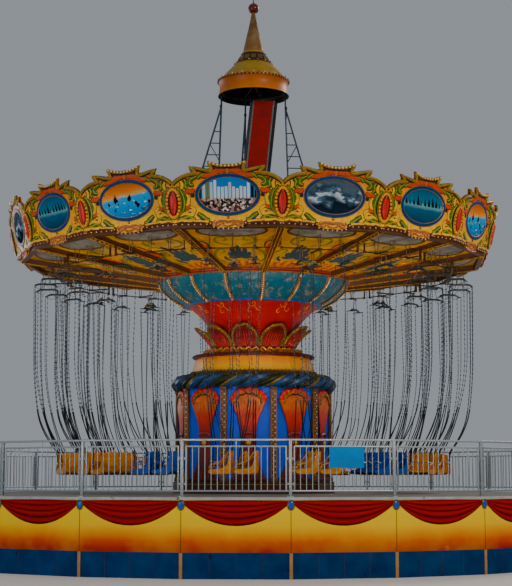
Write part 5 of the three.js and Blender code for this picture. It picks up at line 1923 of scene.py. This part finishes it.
    def rib(self) -> Mesh:
        """Makes one rib with its gilt edges, its lamps and its two shaft brackets, as a pattern.

        Returns:
            The pattern.
        """
        rib = Work()
        foot, head = self.band_height - self.deep, 6.9203
        side_view = [(0.93, foot), (self.band, foot), (5.43, head - self.deep), (5.43, head - 0.001),
                     (self.band, self.band_height - 0.001), (0.93, self.band_height - 0.001)]
        upright = Matrix.Rotation(-math.pi / 2, 4, "Z") @ Matrix.Rotation(math.pi / 2, 4, "X")
        rib.plate(side_view, 0.06, 0, -0.03, upright)
        slope = math.atan((self.rim_height - self.band_height) / (self.rim - self.band))
        under = Matrix.Translation(
            (0, -self.band, self.band_height)) @ Matrix.Rotation(math.pi - slope, 4, "X")
        low = self.deep * math.cos(slope)
        long = 3.155
        board = Work()
        board.plate([(-0.052, -0.01), (0.052, -0.01), (0.076, long), (-0.076, long)], 0.012, 0, low)
        for side in (-1, 1):
            board.tube([(side * 0.05, 0, low + 0.012), (side * 0.074, long, low + 0.012)], 0.0095, 6, 1)
            for i in range(64):
                share = (i + 0.5) / 64
                board.ball((side * (0.05 + 0.024 * share), long * share, low + 0.02), 0.0085, 3)
        for i in range(24):
            board.ball((0, long * (i + 0.5) / 24, low + 0.018), 0.019, 2)
        rib.stamp(board.pattern("rib_board"), [under])
        pin = SHAFT_REACH / math.cos(BAY / 2)
        hang = Work()
        hang.block((0.082, -pin, 6.585), (0.01, 0.06, 0.23), 0, soft=0.002)
        hang.block((0.06, -pin, 6.7), (0.052, 0.06, 0.012), 0, soft=0.002)
        hang.rod((0.066, -pin, 6.5), (0.126, -pin + 0.01, 6.5), 0.026, 12, 0)
        hang.mirror()
        rib.stamp(hang.pattern("shaft_brackets"), [Matrix.Identity(4)])
        return rib.pattern("rib")

    def ribs(self) -> None:
        """Builds the ribs, their hub, the red band over the bowl, the rim and the shafts' rods."""
        work = Work()
        work.stamp(self.rib(), [turn(sweep) for sweep in SWEEPS])
        work.lathe(oblong(0.795, 0.985, 6.4208, 6.695), 32, 0, FIRST_SWEEP)
        low, high = self.band_height - self.deep, self.band_height - 0.004
        work.lathe(oblong(self.band - 0.11, self.band + 0.01, low, high), 16, 4, FIRST_SWEEP)
        for height, thick, finish in ((low + 0.006, 0.012, 1), (low + 0.062, 0.006, 5),
                                      (high - 0.012, 0.009, 1)):
            ring = [on_ring(self.band + 0.012, sweep, height) for sweep in SWEEPS]
            work.tube(ring, thick, 6, finish, closed=True)
        foot, head = self.rim_height - self.deep, self.rim_height - 0.001
        work.lathe(
            [(self.rim - 0.106, foot - 0.016), (self.rim + 0.003, foot), (self.rim + 0.003, head),
             (self.rim - 0.106, head - 0.016)], 16, 0, FIRST_SWEEP)
        hanger = Work()
        for x in (-0.475, 0.0, 0.475):
            for side in (-1, 1):
                reach = SHAFT_REACH / math.cos(BAY / 2)
                ceiling = self.band_height + (reach - self.band) * 0.1425
                hanger.rod((x, -SHAFT_REACH - side * 0.03, 6.505), (x, -SHAFT_REACH - side * 0.07, ceiling),
                           0.009, 6, 6)
        work.stamp(hanger.pattern("shaft_rods"), [turn(middle) for middle in BAYS])
        work.piece("ribs", "canopy", [RIB, GILT, LAMP_ORANGE, LEAF_YELLOW, BAND_RED, ROSE_LINE, SWEEP_STEEL],
                   ["sweep_frame"])


@dataclass
class Crown:
    """The crown that stands over the canopy on four ladder legs.

    Attributes:
        collar: height of the roof's collar, where the legs stand.
        apex: height where the outer rail of a leg meets the inner one.
        head: radius of the legs' top ring.
        foot: height of the crown's lower edge.
        eave: height of its eave.
        neck: height where the spire starts.
        bearings: where the legs stand, in degrees.
    """

    collar: float = 8.3305
    apex: float = 10.66
    head: float = 0.775
    foot: float = 10.92
    eave: float = 11.26
    neck: float = 12.13
    bearings: tuple[float, ...] = (-84, 96, 165, 195)

    def build(self) -> None:
        """Builds the pieces of the crown."""
        self.legs()
        self.skirt()
        self.roof()
        self.spire()
        self.finial()

    def legs(self) -> None:
        """Builds the four ladder legs, their foot ring and their head ring."""
        work = Work()
        leg = Work()

        def inner(height: float) -> Vector:
            """A point on the leg's inner rail."""
            share = (height - self.collar) / (self.apex - self.collar)
            return Vector((0, -(0.85 + (self.head - 0.85) * min(1.0, share)), height))

        def outer(height: float) -> Vector:
            """A point on the leg's outer rail."""
            share = (height - self.collar) / (self.apex - self.collar)
            return Vector((0, -(1.46 + (self.head - 1.46) * share), height))

        leg.tube([inner(self.collar + 0.002), inner(self.apex), inner(11.06)], 0.024, 8, 0)
        leg.rod(outer(self.collar + 0.02), outer(self.apex), 0.022, 8, 0)
        heights = [8.62 + 0.285 * i for i in range(6)]
        for height in heights:
            leg.rod(inner(height), outer(height), 0.013, 6, 0)
        leg.rod(outer(9.74), inner(9.32), 0.011, 6, 0)
        leg.rod(outer(9.18), inner(8.62), 0.011, 6, 0)
        leg.ball(inner(self.apex) + Vector((0, -0.012, 0)), 0.04, 0, (1, 1, 1.5))
        leg.block((0, -0.85, self.collar + 0.012), (0.13, 0.13, 0.02), 0, soft=0.004)
        leg.block((0, -1.46, self.collar + 0.012), (0.13, 0.13, 0.02), 0, soft=0.004)
        leg.rod((0, -self.head, 11.05), (0, -self.head, 11.245), 0.022, 8, 1)
        leg.rod((0, -self.head, 11.09), (0, -0.1, 11.2), 0.018, 6, 1)
        work.stamp(leg.pattern("crown_leg"), [turn(bearing * DEG) for bearing in self.bearings])
        work.lathe(oblong(0.815, 0.895, 8.331, 8.37), 48, 0)
        work.lathe(oblong(0.745, 0.799, 11.01, 11.07), 64, 1)
        work.piece("crown_legs", "canopy", [LEG_BLUE, RAIL_GREY], ["crown_frame"])

    def skirt(self) -> None:
        """Builds the crown's hollow-waisted skirt, with a near-black layer inside it as painted shade."""
        outside = [(0.852, self.foot + 0.004), (0.834, 10.985), (0.818, 11.06), (0.812, 11.13), (0.822, 11.2),
                   (0.842, self.eave - 0.002)]
        inside = [(radius - 0.01, height) for radius, height in reversed(outside)]
        shade_layer = [(radius - 0.0105, height + 0.001) for radius, height in outside]
        work = Work()
        work.lathe([(0.838, self.foot), *outside, *inside], 96, 0)
        # The near-black layer just inside the skirt is painted shade.
        work.lathe([*shade_layer, *[(radius - 0.006, height) for radius, height in reversed(shade_layer)]], 96, 1)
        work.tube([on_ring(0.848, bearing, self.foot + 0.004) for bearing in around(72)], 0.009, 6, 2,
                  closed=True)
        work.piece("crown_skirt_dressed", "canopy", [CROWN_ORANGE, CROWN_DARK, CROWN_BROWN], ["crown_skirt"])

    def roof(self) -> None:
        """Builds the crown's curved roof, with its notched eave, band, lamps and the spire's foot."""
        work = Work()
        line = smooth_path(
            [(0.862, 0, 11.3), (0.78, 0, 11.35), (0.665, 0, 11.48), (0.55, 0, 11.6), (0.44, 0, 11.712)], 4)
        work.lathe([(0, self.eave), (0.862, self.eave), *section(line), (0, 11.712)], 96, 0)
        # A near-black disc under the roof: painted shade inside the crown.
        work.lathe(
            [(0.0, self.eave - 0.0008), (0.8, self.eave - 0.0008), (0.8, self.eave + 0.002),
             (0, self.eave + 0.002)], 64, 1)
        work.lathe(
            [(0.26, 11.71), (0.446, 11.71), (0.45, 11.726), (0.416, 11.742), (0.3, 11.946), (0.308, 11.96),
             (0.26, 11.962)], 72, 2)
        work.lathe([(0, 11.955), (0.288, 11.955), (0.29, 11.985), (0.262, 12.02), (0, 12.02)], 72, 0)
        work.lathe([(0, 12.018), (0.258, 12.018), (0.246, 12.06), (0.237, self.neck), (0, self.neck)], 72, 7)
        for bearing in around(56):
            work.block((0, -0.866, 11.279), (0.05, 0.014, 0.03), 2, turn(bearing), soft=0.003)
        for i in range(40):
            bearing = TURN * i / 40
            work.ball(on_ring(0.85, bearing, 11.322), 0.021, (3, 4)[i % 2])
        square = Work()
        corners = oblong(-0.042, 0.042, -0.05, 0.05)
        square.tube(raised(corners, 0), 0.008, 5, 5, closed=True)
        square.tube([(0.45 * x, 0.45 * y, 0) for x, y in corners], 0.007, 5, 5, closed=True)
        slope = -math.atan((0.416 - 0.3) / (11.946 - 11.742))
        frames = [facing(TURN * i / 14, 0.36, 11.844, slope) for i in range(14)]
        work.stamp(square.pattern("band_square"), frames)
        for i in range(14):
            work.ball(on_ring(0.456, TURN * (i + 0.5) / 14, 11.738), 0.024, (4, 6)[i % 2])
        work.piece(
            "crown_roof_dressed", "canopy", [CROWN_OLIVE, CROWN_DARK, CROWN_BROWN, LAMP_PINK, LAMP_RED,
                                             CROWN_SQUARE, LAMP_ORANGE, SPIRE], ["crown_roof"])

    def spire(self) -> None:
        """Builds the slender spire."""
        foot = self.neck + 0.001
        line = smooth_path(
            [(0.236, 0, foot), (0.2, 0, 12.28), (0.165, 0, 12.44), (0.122, 0, 12.62), (0.084, 0, 12.8),
             (0.046, 0, 12.988)], 4)
        work = Work()
        work.lathe([(0, foot), *section(line), (0, 12.988)], 64, 0)
        work.piece("crown_spire_dressed", "canopy", [SPIRE], ["crown_spire"])

    def finial(self) -> None:
        """Builds the red ball with its tip."""
        work = Work()
        middle = 13.119
        arc = [
            (0.132 * math.cos(angle * DEG), middle + 0.132 * math.sin(angle * DEG))
            for angle in range(-76, 81, 12)]
        work.lathe(
            [(0, 12.9902), (0.05, 12.9902), *arc, (0.02, 13.255), (0.013, 13.3), (0.01, 13.418), (0, 13.42)],
            48, 0)
        work.lathe([(0.04, 12.9903), (0.058, 12.9903), (0.058, 13.01), (0.04, 13.012)], 32, 1)
        work.piece("finial_dressed", "canopy", [BALL_RED, GILT], ["finial"])


@dataclass
class SwingGroup:
    """The three chairs of one bay, hung from one rocking frame.

    Attributes:
        pivot: distance and height of the shaft.
        shaft: half the shaft's length.
        hooks: sideways place, distance and pull of each chair; a pull is radial, then forward.
        spreader: half the spreader's length.
        drop: height of the spreader under the hook.
        ring: where the sleeves start under the hook.
        seat: how far the seat hangs under the hook.
        bend: how far under the hook the pull begins to show.
    """

    pivot: tuple[float, float] = (SHAFT_REACH, 6.5)
    shaft: float = 0.7829
    hooks: tuple[tuple[float, float, tuple[float, float]], ...] = (
        (-0.475, 4.85, (0.55, -0.215)), (0.475, 4.85, (0.55, 0.215)), (0.0, 4.2, (0.44, 0.0)))
    spreader: float = 0.255
    drop: float = 0.29
    ring: float = 3.16
    seat: float = 4.504
    bend: float = 1.9

    def build(self) -> None:
        """Builds the sixteen groups, whose sleeves bend in three ways."""
        patterns = [self.group(slack) for slack in (0.22, 0.15, 0.3)]
        for i in range(16):
            number = f"{i + 1:02d}"
            work = Work()
            work.stamp(patterns[i * 2 % 3], [turn(BAYS[i])])
            seat = SEAT_BLUE if i % 3 == 0 and i < 15 else SEAT_ORANGE
            work.piece(
                f"chairs_{number}", f"swing_group_{number}",
                [SPREADER, HANGER, CHAIN, SLEEVE, seat, BAR_STEEL, HANGER_BLOCK, SWING_FRAME, SWEEP_STEEL],
                [f"swing_group_{number}"])

    def group(self, slack: float) -> Mesh:
        """Makes one bay's frame and chairs, in the bay that looks to the front.

        Args:
            slack: share of the pull that the chains take before the sleeves start.

        Returns:
            The pattern.
        """
        work = Work()
        distance, height = self.pivot
        work.rod((-self.shaft, -distance, height), (self.shaft, -distance, height), 0.013, 10, 7)
        for x, reach in ((-0.475, 4.98), (0.475, 4.98), (0.0, 4.08)):
            work.rod((x - 0.045, -distance, height), (x + 0.045, -distance, height), 0.026, 12, 7)
            work.block((x, -(distance + reach) / 2, height), (0.026, abs(distance - reach), 0.03), 7,
                       soft=0.005)
        link = self.link()
        for sideways, reach, pull in self.hooks:
            place = Matrix.Translation((sideways, -reach, height)) @ Matrix.Rotation(math.pi / 2, 4, "Z")
            chair = Work()
            self.hanger(chair, hooded=sideways == 0)
            self.chains(chair, link, pull, slack)
            self.bucket(chair, pull)
            work.stamp(chair.pattern("chair"), [place])
        return work.pattern("swing_group")

    def drawn(self, point: Point, pull: tuple[float, float], slack: float) -> Vector:
        """Moves a point aside by its height's share of the pull: a little on the chain, the rest below.

        Args:
            point: a point of the hanging chair.
            pull: how far the seat is drawn aside.
            slack: share of the pull at the foot of the chain.

        Returns:
            The point where it hangs.
        """
        chain, sleeve = self.ring - self.bend, self.seat - 0.37 - self.ring
        first = 2 * slack * sleeve / chain
        if -point[2] < self.ring:
            share = slack * (max(0.0, -point[2] - self.bend) / chain) ** 2
        else:
            t = min(1.0, (-point[2] - self.ring) / sleeve)
            share = slack + first * t + (1 - slack - first) * t * t
        return Vector((point[0] + pull[0] * share, point[1] + pull[1] * share, point[2]))

    def hanger(self, work: Work, hooded: bool) -> None:
        """Adds the hanger rods, the thin arched spreader and its wires.

        Args:
            work: the chair.
            hooded: whether it has the small hood and pads of an inner chair.
        """
        hood = [(-0.036, -0.2), (0.036, -0.2), (0.09, -0.262), (0.09, -0.276), (-0.09, -0.276),
                (-0.09, -0.262)]
        for side in (-1, 1):
            work.rod((side * 0.04, 0, 0.005), (side * 0.1, 0, -self.drop + 0.02), 0.008, 6, 8)
            end = side * self.spreader
            work.rod((end, -0.119, -self.drop - 0.035), (end, 0.119, -self.drop - 0.035), 0.012, 6, 0)
            if hooded:
                work.plate(hood, 0.008, 1, -0.004, Matrix.Translation((side * 0.1, 0, 0)) @ EDGEWISE)
                work.block((side * 0.1, 0, -self.drop - 0.036), (0.01, 0.13, 0.034), 6, soft=0.003)
            for fore in (-1, 1):
                work.rod((end, fore * 0.112, -self.drop - 0.03), (end, fore * 0.112, -self.drop - 0.102),
                         0.006, 5, 0)
            wire = smooth_path([(side * 0.03, 0.02, -self.drop), (side * 0.1, 0.03, -self.drop - 0.085),
                                (side * 0.18, 0.03, -self.drop - 0.075), (end, 0.02, -self.drop - 0.03)], 3)
            work.tube(wire, 0.004, 4, 3)
        across = (-1, -0.94, -0.85, -0.6, -0.3, 0, 0.3, 0.6, 0.85, 0.94, 1)
        arch = [(x * self.spreader, 0, -self.drop + 0.018 - 0.052 * abs(x) ** 6) for x in across]
        work.tube(arch, 0.024, 8, 0)
        work.rod((-0.05, 0, 0.0), (0.05, 0, 0.0), 0.018, 8, 7)

    def chains(self, work: Work, link: Mesh, pull: tuple[float, float], slack: float) -> None:
        """Adds the four chains of a chair and the sleeves that lead to its seat.

        Args:
            work: the chair.
            link: the pattern of a link.
            pull: how far the seat is drawn aside.
            slack: share of the pull at the foot of the chain.
        """
        edge = 0.227
        count = 52
        for side, fore in ((-1, -1), (-1, 1), (1, -1), (1, 1)):
            top = Vector((side * self.spreader, fore * 0.112, -self.drop - 0.1))
            foot = Vector((side * edge, fore * 0.05, -self.ring))
            spots = [self.drawn(top.lerp(foot, i / count), pull, slack) for i in range(count + 1)]
            for i, (head, tail) in enumerate(zip(spots, spots[1:])):
                run = tail - head
                work.stamp(
                    link, [Matrix.Translation(head) @ run.to_track_quat("-Z", "Y").to_matrix().to_4x4()
                           @ Matrix.Rotation(math.pi / 2 * (i % 2), 4, "Z")
                           @ Matrix.Diagonal((1, 1, run.length, 1))])
            end = Vector(
                (side * edge, 0.15, -self.seat + 0.03)
                if fore > 0 else (side * edge, -0.18, -self.seat + 0.235))
            path = []
            for i in range(11):
                point = foot.lerp(end, i / 10)
                point.y = foot.y + (end.y - foot.y) * (i / 10) ** 1.25
                path.append(self.drawn(point, pull, slack))
            work.tube(path, 0.012, 6, 3)
            work.ball(path[0] + Vector((0, 0, 0.006)), 0.019, 0)
            work.ball(path[-1], 0.022, 5)

    def bucket(self, work: Work, pull: tuple[float, float]) -> None:
        """Adds the moulded seat with its low cheeks, its curved arm rails and its lap bar.

        Args:
            work: the chair.
            pull: how far the seat is drawn aside.
        """
        place = Matrix.Translation((pull[0], pull[1], -self.seat))
        seat = Work()
        spine = smooth_path(
            [(0.232, 0, -0.062), (0.205, 0, -0.072), (0.1, 0, -0.088), (-0.04, 0, -0.096),
             (-0.145, 0, -0.082), (-0.2, 0, -0.02), (-0.218, 0, 0.1), (-0.224, 0, 0.24), (-0.216, 0, 0.362)],
            3)
        last = len(spine) - 1

        def shell(u: float, v: float) -> Point:
            """Gives a point of the seat's shell for shares across it and along it.

            Args:
                u: share across.
                v: share along.

            Returns:
                The point.
            """
            at = v * last
            k = min(last - 1, int(at))
            point = spine[k].lerp(spine[k + 1], at - k)
            side = 2 * u - 1
            dish = 0.03 * abs(side) ** 3
            groove = 0.004 * math.cos(5 * math.pi * side) * (1 if abs(side) < 0.8 else 0)
            back = max(0.0, min(1.0, (v - 0.55) / 0.2))
            head = 0.045 * abs(side) ** 3 * max(0.0, (v - 0.8) / 0.2)
            return (0.224 * side, point.x + back * (dish + groove),
                    point.z + (1 - back) * (dish + groove) - head)

        seat.sheet(10, 16, shell, 4, thick=0.01)
        cheek = [
            (0.226, -0.088), (0.234, -0.055), (0.214, -0.022), (0.12, -0.012), (0.0, 0.0), (-0.09, 0.022),
            (-0.145, 0.07), (-0.17, 0.15), (-0.182, 0.25), (-0.196, 0.34), (-0.214, 0.364), (-0.234, 0.355),
            (-0.236, 0.2), (-0.232, 0.0), (-0.215, -0.075), (-0.17, -0.105), (0.0, -0.109), (0.16, -0.104)]
        arm = smooth_path(
            [(0, 0.214, -0.04), (0, 0.212, 0.03), (0, 0.165, 0.082), (0, 0.06, 0.112), (0, -0.04, 0.158),
             (0, -0.115, 0.245), (0, -0.175, 0.33), (0, -0.205, 0.35)], 3)
        post = smooth_path([(0, 0.03, -0.005), (0, 0.045, 0.06), (0, 0.03, 0.12)], 3)
        for side in (-1, 1):
            aside = Vector((side * 0.231, 0, 0))
            seat.plate(cheek, 0.012, 4, -0.006, Matrix.Translation(aside) @ EDGEWISE, soft=0.003)
            seat.tube([point + aside for point in arm], 0.014, 8, 4)
            seat.tube([point + aside for point in post], 0.012, 8, 4)
        seat.tube(
            [(-0.232, 0.04, 0.125), (-0.232, 0.17, 0.15), (-0.2, 0.205, 0.152), (0.2, 0.205, 0.152),
             (0.232, 0.17, 0.15), (0.232, 0.04, 0.125)], 0.01, 8, 5)
        seat.rod((0, 0.205, 0.152), (0, 0.19, -0.06), 0.007, 6, 3)
        seat.block((0, -0.238, 0.15), (0.3, 0.006, 0.19), 4, soft=0.002)
        seat.block((0, 0.0, -0.1085), (0.34, 0.4, 0.006), 6, soft=0.001)
        for x in (-0.15, 0.15):
            seat.block((x, 0.0, -0.1125), (0.03, 0.42, 0.006), 5, soft=0.001)
        work.stamp(seat.pattern("seat"), [place])

    def link(self) -> Mesh:
        """Makes one chain link, a metre long before it is stamped, that hangs down from its origin.

        Returns:
            The pattern.
        """
        work = Work()
        for flip in (0, 1):
            turned = Matrix.Rotation(math.pi * flip, 4, "X") @ Matrix.Translation((0, 0, 0.26))
            made = bmesh.ops.create_cone(
                work.bm, cap_ends=False, segments=3, radius1=0.017, radius2=0.0046, depth=0.54,
                matrix=Matrix.Translation((0, 0, -0.5)) @ Matrix.Diagonal((0.36, 1, 1, 1)) @ turned)
            work.settle(made["verts"], 2, None)
        bmesh.ops.remove_doubles(work.bm, verts=work.bm.verts, dist=1e-5)
        return work.pattern("chain_link")


def main() -> None:
    """Builds the ride."""
    logging.basicConfig(level=logging.INFO, format="%(name)s: %(message)s")
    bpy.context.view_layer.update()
    for part in (Stage(), Deck(), Column(), MastGear(), Canopy(), Crown(), SwingGroup()):
        LOG.info("building %s", type(part).__name__)
        part.build()
    for mesh in [mesh for mesh in bpy.data.meshes if mesh.users == 0]:
        bpy.data.meshes.remove(mesh)


if __name__ == "__main__":
    main()
